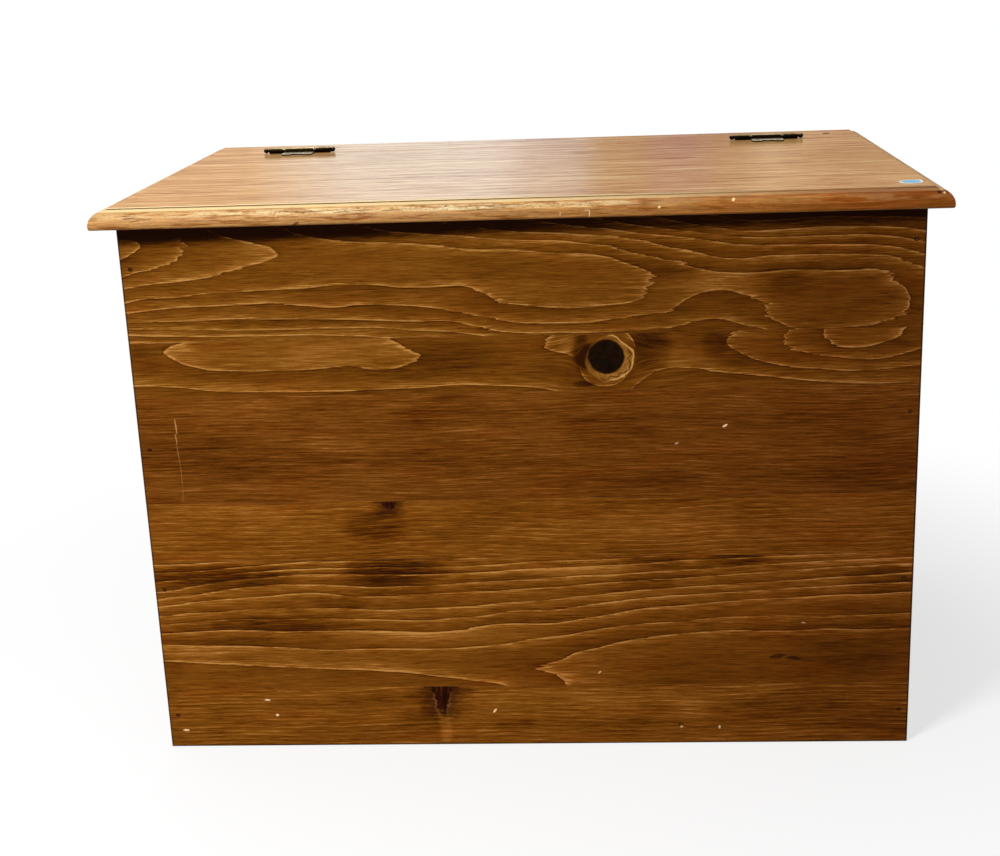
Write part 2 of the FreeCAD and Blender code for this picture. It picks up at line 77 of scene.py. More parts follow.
# ---------------------------------------------------------------- the front's figure, drawn
# A growth ring meets the face of a board in a line. Each entry is a ring's number and the x,z points of its
# line in mm. A number with a fraction stands between two lines, to guide the surface where no line is drawn.
FRONT_RINGS = {
    "front_board_1": """
    3: -381,519 -367,526 -359,533 -364,539;
    2: -381,503 -367,507 -347,512 -331,517 -321,523 -317,530 -320,537 -324,542 -332,549;
    1: -381,491 -358,495 -335,497 -313,499 -290,501 -277,506 -254,511 -240,515 -226,522 -235,530 -254,534
    -272,538 -290,545;
    0: -381,476 -367,481 -347,482 -324,482 -304,485 -267,486 -245,487 -204,488 -176,491 -136,490 -113,486
    -79,486 -55,488 -42,485 -33,479 -26,474 -13,469 3,467 34,463 46,462 68,464 91,465 114,468 120,475
    124,483 129,490 118,499 107,503 87,511 68,515 34,516 12,519 -12,522 -40,521 -56,523 -85,528 -113,530
    -158,532 -188,536 -208,541;
    -1: -381,468 -358,470 -324,472 -279,473 -233,475 -210,471 -177,468 -154,471 -124,470 -85,467 -63,462
    -29,455 -13,451 5,449 34,448 68,448 91,451 114,454 137,456 149,460 157,469 166,473 175,475 193,477
    207,475 216,472 228,466 234,460 231,452 239,448 248,443 262,437;
    -1: 310,438 337,440 350,445 366,453 369,466 362,475 355,484 343,491 330,495 314,493 285,494 250,495
    216,493 193,495 173,497 148,506 125,511 103,517 87,522 68,524 46,528 12,529 -11,530 -45,534 -85,538
    -120,541;
    -2: -381,458 -313,458 -279,460 -245,459 -188,457 -154,456 -108,453 -67,453 -51,450 -35,445 -17,441 5,439
    68,438 103,439 137,441 153,443 166,447 182,450 194,448 207,445 214,441;
    -2: 381,493 371,497 362,502 348,506 325,508 285,509 230,509 212,506 193,508 178,511 166,515 148,518
    130,522 116,527 98,531 57,534 12,537 -30,541;
    -3: -381,452 -313,450 -267,448 -222,448 -136,448 -108,445 -63,442 -38,438;
    -3: 381,507 364,511 353,515 330,517 296,518 228,519 207,520 182,524 166,527 148,530 125,532 90,537
    50,542;
    -4: -381,445 -324,443 -279,442 -204,442 -154,440 -126,437;
    -4: 381,518 362,522 341,526 307,527 262,526 228,526 207,527 189,530 166,533 140,537 110,541;
    -5: 381,528 364,532 330,534 285,535 239,533 205,533 180,538;
    0.8: -190,512; 0.6: -130,509; 0.5: -80,505 -30,500; 0.45: 20,492; 0.4: 60,488; 0.25: 100,487;
    -0.35: 147,486; -0.9: 180,486 205,485; -0.75: 240,478; -0.45: 270,468 310,464; -0.6: 345,464;
    -1.4: 381,466; 2.4: -381,549; 1.9: -335,551; 0.8: -290,551; -0.3: -210,551; -1.5: -120,551;
    -2.7: -30,551; -3.6: 50,551; -4.8: 110,551; -6: 180,551; -6.6: 230,551 300,551 381,549;
    -2.4: 190,440 225,437; -2.2: 20,437 100,437; -5.2: -381,437; -4.7: -250,437; -0.95: 285,437""",
    "front_board_2": """
    0: -127,437 -117,432 -108,426 -99,423 -96,420 -102,416 -113,409 -127,406 -142,406 -158,409 -170,411
    -181,410 -199,408 -222,407 -267,407 -306,409 -331,416 -342,422 -348,428 -343,433 -326,437;
    0: 207,436 200,433 195,426 202,419 212,414 228,407 243,402 262,399 285,398 307,395 341,396 381,400;
    0: 31,437 26,432 22,424 34,419 49,418 56,408 58,396 66,388 80,384 95,387 104,396 106,405 109,418 109,428
    104,435;
    1: 256,436 251,432 249,426 254,420 264,416 285,411 307,408 330,406 346,407 364,411 381,416;
    2: 288,436 289,427 296,422 307,418 325,418 343,422 355,426 362,432 364,436;
    -1: -381,394 -358,394 -335,392 -313,389 -290,387 -267,386 -222,385 -176,385 -142,386 -97,387 -74,389
    -51,389 -17,387 12,385 30,382;
    -1: 110,387 118,392 125,397 134,400 148,402 164,401 182,398 205,395 228,392 250,389 285,385 319,383
    353,382 381,382;
    0.5: -225,437 -270,436; 0.4: -225,423 -280,423; 0.3: -160,423 -170,436; 0.12: -325,427 -115,420;
    -0.5: -381,430 -360,415 0,412 -20,436; -0.3: -80,430 -70,405; -0.4: -40,420;
    -0.55: 135,425 165,436 155,418; -0.2: 120,425 184,426; -1.3: -381,381 -200,381 -60,381; -1.5: 160,388;
    -1.3: 240,383; 0.6: 80,415 80,430; 0.2: 42,428""",
    "front_board_5": """
    0: 205,127 182,126 160,124 137,122 114,119 91,115 68,109 50,105 34,99 23,94 12,91 4,87 14,83 23,80 36,74
    30,70;
    -1: -381,99 -342,96 -308,94 -256,90 -199,88 -154,85 -124,83 -97,79 -74,76 -51,72 -29,69;
    -1: -381,117 -324,115 -290,115 -258,113 -233,111 -199,109 -165,111 -131,110 -97,109 -74,110 -40,113
    -22,114 -8,118 23,122 39,123 48,126 68,129 91,132 114,135 137,136 160,137 182,140 205,141 239,142
    284,141 340,142 381,143;
    -2: -381,130 -335,132 -301,133 -279,132 -245,131 -188,131 -154,130 -131,129 -97,128 -67,130 -51,134
    -35,136 -17,137 9,136 34,137 57,142 80,146 103,150 125,153 148,154 182,157 216,160 262,161 307,164
    341,164 381,167;
    -3: -381,139 -351,142 -324,144 -297,145 -267,144 -222,145 -188,144 -131,142 -102,141 -79,144 -51,145
    -33,148 -17,151 23,151 46,154 80,159 103,162 137,165 182,167 216,169 262,172 307,174 341,175 381,177;
    -4: -381,149 -347,152 -313,154 -285,156 -256,156 -204,156 -177,155 -149,153 -120,154 -63,156 -45,157
    -27,160 0,161 23,162 46,165 80,168 114,172 148,174 182,176 228,178 262,180 307,183 341,184 381,187;
    -5: -381,160 -340,165 -313,167 -279,169 -256,171 -231,173 -210,173 -188,169 -154,168 -108,170 -63,172
    -40,172 -17,174 9,175 34,176 57,179 91,181 125,183 160,184 193,187 228,189 262,191 307,194 353,196
    381,197;
    -6: -381,167 -367,169 -342,173 -315,176 -290,180 -254,183 -227,182 -204,182 -181,180 -154,178 -120,179
    -86,180 -63,182 -17,184 9,185 34,186 57,188 91,189 125,191 160,193 193,195 228,197 262,199 307,201
    381,203;
    -7: -381,176 -347,181 -324,185 -301,188 -290,189 -267,190 -245,193 -188,193 -154,192 -120,191 -74,193
    -40,193 -6,196 23,197 57,198 91,199 125,201 160,203 193,204 240,206;
    -8: -381,187 -351,189 -329,192 -306,194 -279,197 -254,198 -199,200 -108,200 -63,200 -29,201 9,204 57,205
    91,206;
    -9: -381,197 -340,198 -306,201 -279,203 -254,205 -227,207;
    0.35: 90,90; 0.6: 200,104; 0.7: 280,100 381,98; 0.1: 300,126; 0.05: 381,126; 0.3: 90,69;
    0.5: 230,72 381,72; -1.6: -381,67; -1.5: -250,67; -1.3: -150,67; -1.1: -60,67; -0.75: -381,108;
    -0.7: -300,104; -0.65: -200,98; -0.5: -100,93; -0.25: -30,90; -0.5: -10,102; -0.45: 0,70; -6.6: 381,208;
    -7.2: 250,208; -8.2: 100,208; -8.8: -30,208; -9.1: -150,208 -227,208; -10.2: -381,208""",
}
RING_STRETCH = 2.5  # the figure changes this much more slowly along the grain than across it
RING_STEP = 7.0  # between the points taken along a ring's line, mm
RING_EASE = 30.0  # how far the surface may pass beside the lines
RING_STATIONS = 128  # places along a board where its rows of ring numbers are kept
ROW_PITCH = 9.0  # between those rows, across the board, mm


def drawn_lines(figure):
    """The (ring number, points) pairs of a drawn figure."""
    for entry in figure.split(";"):
        ring, points = entry.split(":")
        yield float(ring), [[float(value) for value in point.split(",")] for point in points.split()]


def spaced(line):
    """Points at even steps along a ring's line."""
    points = np.array(line, float)
    run = np.r_[0, np.cumsum(np.hypot(*np.diff(points, axis=0).T))]
    steps = np.linspace(0, run[-1], max(2, int(run[-1] / RING_STEP) + 1))
    return np.c_[np.interp(steps, run, points[:, 0]), np.interp(steps, run, points[:, 1])]


def plate_kernel(a, b):
    """The thin plate's bending kernel between two sets of points."""
    squared = ((a[:, None, :] - b[None, :, :]) ** 2).sum(-1)
    return squared * np.log(squared + 1e-9)


def ring_surface(figure):
    """A thin plate bent through every ring's line: a function from (x, z) points to ring numbers."""
    runs = [(spaced(line) if ring.is_integer() and len(line) > 1 else np.array(line), ring)
            for ring, line in drawn_lines(figure)]
    shrink = np.array([1 / RING_STRETCH, 1])
    points = np.concatenate([run for run, _ in runs]) * shrink
    rings = np.concatenate([np.full(len(run), ring) for run, ring in runs])
    count = len(points)
    slope = np.c_[np.ones(count), points]
    system = np.block([[plate_kernel(points, points) + RING_EASE * np.eye(count), slope],
                       [slope.T, np.zeros((3, 3))]])
    weights = np.linalg.solve(system, np.r_[rings, np.zeros(3)])

    def ring_at(places):
        places = places * shrink
        slopes = np.c_[np.ones(len(places)), places]
        return plate_kernel(places, points) @ weights[:count] + slopes @ weights[count:]

    return ring_at


def hump(t):
    """The cubic B-spline, 4 wide."""
    t = np.abs(t)
    return np.where(t < 1, (4 - 6 * t ** 2 + 3 * t ** 3) / 6, np.where(t < 2, (2 - t) ** 3 / 6, 0))


def ring_rows(figure, left, right, low, high):
    """The ring surface as rows along the board, which humps across it add up to the surface again."""
    ring_at = ring_surface(figure)
    count = int(round((high - low) / ROW_PITCH)) + 3
    pitch = (high - low) / (count - 3)
    heights = low + pitch * (np.arange(count) - 1)
    xs, zs = np.linspace(left, right, RING_STATIONS), np.linspace(low, high, 4 * count)
    grid = np.stack(np.meshgrid(xs, zs), -1).reshape(-1, 2)
    wanted = ring_at(grid).reshape(len(zs), len(xs))
    shares = hump((zs[:, None] - heights) / pitch)
    return heights, pitch, np.linalg.lstsq(shares, wanted, rcond=None)[0]


# ---------------------------------------------------------------- shader maths that reads as maths
def linear(red, green, blue):
    """A colour written as 0 to 255 display values, as the shaders want it."""
    def one(value):
        value /= 255
        return value / 12.92 if value <= 0.04045 else ((value + 0.055) / 1.055) ** 2.4
    return one(red), one(green), one(blue), 1.0


def stops(*rows):
    """A ramp's colours from (place, red, green, blue) rows of display values."""
    return [(place, linear(*colour)) for place, *colour in rows]


def feed(tree, socket, value):
    """Links a value into a socket, or writes a plain number or colour there."""
    if isinstance(value, Value):
        tree.links.new(value.socket, socket)
    elif value is not None:
        socket.default_value = value


class Value:
    """One output of a shader node. Sums, products and the rest add Math nodes."""

    def __init__(self, tree, socket):
        self.tree, self.socket = tree, socket

    def calc(self, operation, *others, clamp=False):
        node = self.tree.nodes.new("ShaderNodeMath")
        node.operation, node.use_clamp = operation, clamp
        for socket, value in zip(node.inputs, (self, *others)):
            feed(self.tree, socket, value)
        return Value(self.tree, node.outputs[0])

    def __add__(self, other):
        return self.calc("ADD", other)

    def __sub__(self, other):
        return self.calc("SUBTRACT", other)

    def __mul__(self, other):
        return self.calc("MULTIPLY", other)

    def __truediv__(self, other):
        return self.calc("DIVIDE", other)

    def __rsub__(self, other):
        return self.calc("MULTIPLY_ADD", -1.0, other)

    def __pow__(self, other):
        return self.calc("POWER", other)

    __radd__, __rmul__ = __add__, __mul__

    def clamped(self):
        return self.calc("ADD", 0.0, clamp=True)

    def most(self, other):
        return self.calc("MAXIMUM", other)

    def size(self):
        return self.calc("ABSOLUTE")

    def fraction(self):
        return self.calc("FRACT")

    def whole(self):
        return self.calc("FLOOR")


class Shader:
    """A material, and short calls that add nodes to it."""

    def __init__(self, name):
        self.material = bpy.data.materials.new(name)
        self.material.use_nodes = True
        self.tree = self.material.node_tree
        self.tree.nodes.clear()

    @classmethod
    def on_tree(cls, tree):
        """The same calls for a node tree that belongs to no material, such as the world's."""
        shader = cls.__new__(cls)
        shader.tree = tree
        tree.nodes.clear()
        return shader

    def node(self, kind, output=0, inputs=None, **settings):
        made = self.tree.nodes.new("ShaderNode" + kind)
        for name, value in settings.items():
            setattr(made, name, value)
        for name, value in (inputs or {}).items():
            feed(self.tree, made.inputs[name], value)
        return Value(self.tree, made.outputs[output])

    def millimetres(self):
        """Where a point is on the object, as x, y and z in mm."""
        place = self.node("TexCoord", "Object")
        scaled = self.node("VectorMath", inputs={0: place, "Scale": 1000.0}, operation="SCALE")
        return self.apart(scaled)

    def directions(self):
        """The surface's own direction on the object, as x, y and z."""
        return self.apart(self.node("TexCoord", "Normal"))

    def apart(self, vector):
        """A vector as its x, y and z."""
        split = self.tree.nodes.new("ShaderNodeSeparateXYZ")
        feed(self.tree, split.inputs[0], vector)
        return [Value(self.tree, output) for output in split.outputs]

    def noise(self, x, y, z, detail=2.0, rough=0.5, output=0):
        """Noise about 1 unit wide in each direction, from 0 to 1."""
        place = self.node("CombineXYZ", inputs={0: x, 1: y, 2: z})
        inputs = {"Vector": place, "Scale": 1.0, "Detail": detail, "Roughness": rough}
        return self.node("TexNoise", output, inputs)

    def smooth(self, value, start, end, low=0.0, high=1.0):
        """Goes smoothly from low to high while the value goes from start to end."""
        inputs = {"Value": value, "From Min": start, "From Max": end, "To Min": low, "To Max": high}
        return self.node("MapRange", inputs=inputs, interpolation_type="SMOOTHSTEP")

    def curve(self, value, points):
        """Straight runs through (place, height) points, places and heights from 0 to 1."""
        made = self.tree.nodes.new("ShaderNodeFloatCurve")
        line = made.mapping.curves[0]
        line.points[0].location, line.points[-1].location = points[0], points[-1]
        for point in points[1:-1]:
            line.points.new(*point)
        for point in line.points:
            point.handle_type = "VECTOR"
        made.mapping.extend = "HORIZONTAL"
        made.mapping.update()
        feed(self.tree, made.inputs["Value"], value)
        return Value(self.tree, made.outputs[0])

    def ramp(self, value, stops):
        """Colours along a value from 0 to 1, from (place, colour) stops."""
        made = self.tree.nodes.new("ShaderNodeValToRGB")
        elements = made.color_ramp.elements
        while len(elements) < len(stops):
            elements.new(0.5)
        for element, (place, colour) in zip(elements, stops):
            element.position, element.color = place, colour
        feed(self.tree, made.inputs[0], value)
        return Value(self.tree, made.outputs[0])

    def mix(self, share, a, b, blend="MIX"):
        """Colour a with a share of colour b laid over it."""
        made = self.tree.nodes.new("ShaderNodeMix")
        made.data_type, made.blend_type, made.clamp_factor = "RGBA", blend, True
        for socket, value in zip((made.inputs[0], made.inputs[6], made.inputs[7]), (share, a, b)):
            feed(self.tree, socket, value)
        return Value(self.tree, made.outputs[2])

    def washed(self, share, colour, wash):
        """A colour with a share of a see-through wash over it."""
        return self.mix(share, colour, self.mix(1.0, colour, wash, "MULTIPLY"))

    def coated(self, colour, *coats):
        """A colour under coats of paint, each a share and the paint's red, green and blue display values."""
        for share, *paint in coats:
            colour = self.mix(share, colour, linear(*paint))
        return colour

    def patch(self, x, y, centre, reach, softness=0.6):
        """1 inside an ellipse with a soft rim, 0 outside it."""
        across, up = (x - centre[0]) / reach[0], (y - centre[1]) / reach[1]
        return self.smooth(across * across + up * up, 1 + softness, 1 - softness)

    def output(self, surface, kind="Material"):
        out = self.tree.nodes.new("ShaderNodeOutput" + kind)
        feed(self.tree, out.inputs["Surface"], surface)

    def finish(self, colour, rough, height, deep=0.1, strength=1.0, **surface):
        """The surface itself. Deep is the relief in mm that a height of 1 stands for."""
        bump = self.node("Bump", inputs={"Height": height, "Distance": deep * MM, "Strength": strength})
        inputs = {"Base Color": colour, "Roughness": rough, "Normal": bump}
        inputs.update({name.replace("_", " "): value for name, value in surface.items()})
        self.output(self.node("BsdfPrincipled", inputs=inputs))
        return self.material


# ---------------------------------------------------------------- pine
AMBER = stops((0.0, 46, 18, 0), (0.2, 76, 38, 2), (0.42, 107, 60, 9), (0.58, 124, 73, 16),
              (0.78, 148, 94, 33), (0.92, 168, 113, 50), (1.0, 188, 134, 68))
FADED = stops((0.0, 114, 66, 22), (0.25, 166, 113, 54), (0.5, 208, 158, 90), (0.75, 231, 188, 122),
              (1.0, 250, 220, 166))
HONEY = stops((0.0, 70, 32, 0), (0.25, 128, 72, 8), (0.5, 176, 108, 24), (0.75, 208, 142, 44),
              (1.0, 238, 186, 92))
BARE = stops((0.0, 150, 108, 62), (0.25, 188, 148, 98), (0.5, 208, 172, 122), (0.75, 220, 188, 142),
             (1.0, 232, 206, 166))
END_GRAIN = stops((0.0, 40, 18, 2), (0.5, 78, 42, 9), (1.0, 122, 74, 24))
KNOT_WOOD = stops((0.3, 9, 3, 0), (0.75, 32, 15, 3))
SPIKE_WOOD = stops((0.36, 20, 1, 0), (0.5, 38, 9, 0), (0.64, 78, 33, 8))
COLLAR = stops((0.2, 84, 44, 7), (0.5, 144, 90, 29), (0.8, 196, 143, 74))
RUSSET, OLIVE = linear(255, 216, 170), linear(240, 240, 204)
LINE_REACH = 20.0  # mm from a ring's line, over which its tones run
LEAST_SLOPE = 0.03  # rings per mm; where a board is flatter than this, its pale zones grow no wider
PATCH_DEPTH = 1.3  # tone, for a patch that is lighter by 1
VARNISH = 0.9  # how much of the lid's top is still varnished


class Wood(Shader):
    """A board's shader, which knows where a point is in the board and which way the surface faces there. Axes
    names the directions along and across the grain and through the board, with the board's middle in each."""

    def __init__(self, name, axes, seed):
        super().__init__(name)
        self.point, self.facing = dict(zip("xyz", self.millimetres())), dict(zip("xyz", self.directions()))
        self.along, self.across, self.through = (self.point[axis] for axis, _ in axes)
        self.middle = [middle for _, middle in axes]
        self.end_on = self.facing[axes[0][0]].size()
        self.seed, self.shift = seed, seed * 13.7 % 400

    def figure(self, length, width, further=0.0, across=None, **settings):
        """Noise drawn out along the grain, in marks so many mm long and wide. Further is another pattern."""
        depth = self.through / width + self.shift
        if further:
            depth = depth + further
        return self.noise(self.along / length, (across or self.across) / width, depth, **settings)


def grown_rings(s, along, across, through, heart, wander, spacing):
    """Rings of a trunk whose heart wanders beside the board: the usual arches, islands and straight runs.
    Gives the ring number and how fast it grows across the board, per mm."""
    along, across, through = (place - middle for place, middle in zip((along, across, through), s.middle))
    sway = s.noise(along / 210.0, s.seed * 3.7 % 50, s.seed * 1.3 % 50, detail=1.5, output="Color")
    sway_across, sway_through, _ = s.apart(sway)
    across = across - heart[0] - (sway_across - 0.5) * wander[0]
    through = through - heart[1] - (sway_through - 0.5) * wander[1]
    distance = (across * across + through * through).calc("SQRT")
    return distance / spacing + along / 900.0, across.size() / (distance * spacing)


def drawn_rings(s, along, across, rows):
    """The same from a board's own drawn figure."""
    heights, pitch, values = rows
    low, high = float(values.min()), float(values.max())
    place = along / (2 * BODY_HALF_WIDTH) + 0.5
    stations = np.linspace(0, 1, values.shape[1])
    hump_points = [(float(t), float(hump(4 * t - 2))) for t in np.linspace(0, 1, 33)]
    numbers = [s.curve(place, [(float(t), float(v)) for t, v in zip(stations, (row - low) / (high - low))])
               for row in values]

    def ring_at(level):
        total = 0.0
        for height, number in zip(heights, numbers):
            share = s.curve((level - float(height)) / (4 * pitch) + 0.5, hump_points)
            total = share * number + total
        return total * (high - low) + low

    rings = ring_at(across)
    return rings, (ring_at(across + 1.0) - rings).size()


def round_knots(s, colour, fibres, knots):
    """Round knots: a nearly black heart in a pale, cracked collar that is wider below and to one side."""
    for place, height, radius in knots:
        u, v = (s.along - place) / radius, (s.across - height) / radius
        angle = u.calc("ARCTAN2", v)
        wobble = s.noise(s.along / (radius * 0.8), s.across / (radius * 0.8), s.shift, detail=3.0, rough=0.6)
        away = (u * u + v * v).calc("SQRT") + (wobble - 0.5) * 0.2
        low_u, low_v = u - 0.16, v + 0.13
        lobes = s.noise(s.along / (radius * 1.3), s.across / (radius * 1.3), s.shift + 8.0, detail=2.0)
        low = (low_u * low_u + low_v * low_v).calc("SQRT") + (wobble - 0.5) * 0.3 + (lobes - 0.5) * 0.7
        stripes = s.noise(low * 9.0, angle * 1.3, s.shift + 3.0, detail=5.0, rough=0.75)
        spokes = s.noise(away * 2.0, angle * 2.4, s.shift, detail=3.0)
        teeth = s.noise(angle * 5.0, s.shift, 1.0, detail=2.0)
        rim = s.smooth((low - 1.3).size(), 0.07, 0.01) * s.smooth(u, -0.1, 0.5)
        crack = s.smooth((low - 1.14 + (teeth - 0.5) * 0.5).size(), 0.05, 0.015) * s.smooth(u - v, 0.5, 1.1)
        # Painted light: the collar paler toward its lower right, as if lit from there.
        lit = s.smooth(u * 0.8 - v * 0.6, -0.9, 0.5, 0.35, 0.92)
        colour = s.mix(s.smooth(low, 1.42, 1.28) * lit, colour, s.ramp(stripes, COLLAR))
        colour = s.coated(colour, (rim * 0.9, 206, 154, 84), (crack * 0.8, 36, 15, 2),
                          (s.smooth(away, 1.1, 0.97), 26, 10, 1))
        colour = s.mix(s.smooth(away, 0.98, 0.86), colour, s.ramp(spokes + (fibres - 0.5) * 0.3, KNOT_WOOD))
    return colour


def spike_knots(s, colour, rag, spikes):
    """Knots cut lengthwise: a torn dark wedge that narrows downward, in wood that is dark round it. Each is
    (x, top, bottom, half width at the top, half width at the bottom, how pale its rim is)."""
    x, z = s.point["x"], s.point["z"]
    for place, top, bottom, half_top, half_bottom, rimmed in spikes:
        down = (top - z) / (top - bottom)
        tear = s.noise(x / 6.0, z / 5.0, place, detail=4.0, rough=0.7)
        smoke = s.noise(x / 9.0, z / 3.0, place + 5.0, detail=4.0, rough=0.65)
        core = s.noise(x / 3.4, z / 15.0, place + 9.0, detail=4.0, rough=0.65)
        narrowed = down.clamped() ** 1.3 * (half_bottom - half_top)
        beyond = (x - place + (tear - 0.5) * 14.0).size() - half_top - narrowed
        below_top = s.smooth(down, -0.03, 0.02)
        level = below_top * s.smooth(down + (rag - 0.5) * 0.8 + (tear - 0.5) * 1.6, 1.2, 0.8)
        halo = s.smooth(beyond + (smoke - 0.5) * 30.0, half_top * 1.9, -1.0) * s.smooth(down, -0.03, 0.03)
        halo = halo * s.smooth(down + (smoke - 0.5) * 2.0, 1.7, 0.9)
        seam = s.smooth(down, 0.09, 0.03) * s.smooth(down, -0.03, 0.0)
        seam = seam * s.smooth(beyond + (smoke - 0.5) * 10.0, 11.0, 6.0)
        rim = s.smooth(beyond, -0.4, 0.1) * s.smooth(beyond, 1.1, 0.5) * s.smooth(down, 0.15, 0.5)
        colour = s.coated(colour, (halo * 0.75, 52, 21, 3), (seam * 0.8, 34, 12, 1))
        colour = s.mix(s.smooth(beyond, 1.2, -1.6) * level * 0.94, colour, s.ramp(core, SPIKE_WOOD))
        colour = s.coated(colour, (rim * level * rimmed * smoke * 1.4, 160, 104, 66))
    return colour


def flecked(s, colour, fibres, flecks):
    """Specks of paint, scratches and nail marks on the front. Each is (x, z, half length, half width, slant
    in degrees, share, colour)."""
    in_front = s.smooth(s.facing["y"], -0.3, -0.5)
    for x, z, half_length, half_width, slant, share, paint in flecks:
        turn = math.radians(slant)
        off_x, off_z = s.point["x"] - x, s.point["z"] - z
        u = (off_x * math.cos(turn) + off_z * math.sin(turn)) / half_length
        v = (off_z * math.cos(turn) - off_x * math.sin(turn)) / half_width
        inside = s.smooth(u * u + v * v + (fibres - 0.5) * 0.9, 1.2, 0.55)
        colour = s.mix(inside * in_front * share, colour, paint)
    return colour


def streamed_round(s, knots, shown):
    """The wood beside its round knots: from where across the grain each fibre comes, how freely the rings'
    edges stray, and how far the rings show."""
    streamed, free = s.across, 1.0
    for place, height, radius in knots:
        u, v = (s.along - place) / 1.5, s.across - height
        reach = u * u + v * v
        streamed = streamed - v * radius ** 2 / reach.most(radius ** 2)
        free = s.smooth(reach, (1.6 * radius) ** 2, (3.2 * radius) ** 2) * free
        shown = s.smooth(reach, (1.1 * radius) ** 2, (1.5 * radius) ** 2) * shown
    return streamed, free, shown


def ring_lines(s, rings, slope):
    """A ring's tones: it starts with a pale line, fades through its width, and ends in a thin dark one."""
    step, slope = rings.fraction(), slope.most(LEAST_SLOPE) * LINE_REACH
    from_start, from_end = step / slope, (1.0 - step) / slope
    pale = s.curve(from_start, [(0, 1), (0.06, 0.8), (0.2, 0.48), (0.5, 0.15), (1, 0)])
    line = s.curve(from_start, [(0, 1), (0.03, 0.8), (0.07, 0.22), (0.11, 0), (1, 0)])
    dark = s.curve(from_end, [(0, 0.9), (0.03, 1), (0.09, 0.5), (0.3, 0.22), (0.8, 0), (1, 0)])
    return pale, line, dark


def patched(s, tone, fibres, rag, patches, upright):
    """A tone with cloudy patches; on the front's top board two of them are painted shade, the lid's shadow.
    Each is (along, across, reach along, reach across, how much lighter).
    """
    for place, height, reach_along, reach_across, lighter in patches:
        stray = (fibres - 0.5) * min(60.0, reach_along * 0.8)
        inside = s.patch(s.along + stray, s.across + (rag - 0.5) * 8.0, (place, height),
                         (reach_along, reach_across), 0.9)
        tone = tone + inside * (lighter * PATCH_DEPTH) * upright
    return tone


def bleached_top_and_riser_glint(s, colour, tone, streak, upward, palette):
    """The lid's top, pale and wiped in broad streaks, and a painted highlight on the riser of its step at the
    sides.
    """
    broad = s.noise(s.along / 150.0, s.across / 9.0, s.shift, detail=4.0, rough=0.68)
    tone = (tone + ((broad - 0.5) * 1.6 + streak * 0.9 + 0.03) * upward).clamped()
    colour = s.mix(upward, colour, s.ramp(tone, palette))
    # Painted highlight: the riser of the step at the lid's sides made pale.
    step_at = LID_HALF_WIDTH - LID_STEP
    riser = s.smooth(s.point["x"].size(), step_at, step_at + 0.4)
    riser = riser * s.smooth(s.point["z"], LID_TOP - 3.6, LID_TOP - 2.4) * (1.0 - upward)
    return s.coated(colour, (riser * 0.6, 222, 188, 140)), tone


def end_grain(s, colour, heart):
    """A colour with rings and pores in place of it where the board is cut across."""
    rings, _ = grown_rings(s, s.along, s.across, s.through, (heart[0], heart[1] + 5), (0, 0), 4.0)
    pores = s.noise(s.along / 6.0, s.across / 0.8, s.through / 0.8, detail=2.0)
    tone = s.curve(rings.fraction(), [(0, 0.2), (0.2, 0.6), (0.8, 0.7), (1, 0.2)]) + (pores - 0.5) * 0.8
    return s.mix(s.smooth(s.end_on, 0.75, 0.93), colour, s.ramp(tone.clamped(), END_GRAIN))


def weathered(s, colour, worn, shaded_edges):
    """A colour with its arrises rubbed pale and, on the front panel, a dark band of painted shade along its
    side and bottom edges.
    """
    facing, point = s.facing, s.point
    arris = 1.0 - (facing["x"].size().most(facing["y"].size())).most(facing["z"].size())
    rub = s.figure(30.0, 6.0, detail=3.0)
    colour = s.coated(colour, (s.smooth(arris, 0.08, 0.2) * s.smooth(rub, 0.4, 0.62) * worn, 206, 154, 92))
    # Painted shade: a dark band along the front panel's side and bottom edges, where their rounded arrises
    # turn from the light.
    if shaded_edges:
        edge = s.smooth(point["x"].size(), BODY_HALF_WIDTH - 2.6, BODY_HALF_WIDTH - 1.1)
        edge = edge.most(s.smooth(point["z"], 2.6, 1.3)) * s.smooth(facing["y"], 0.0, -0.4)
        colour = s.coated(colour, (edge * (rub * 0.5 + 0.5), 26, 10, 1))
    return colour


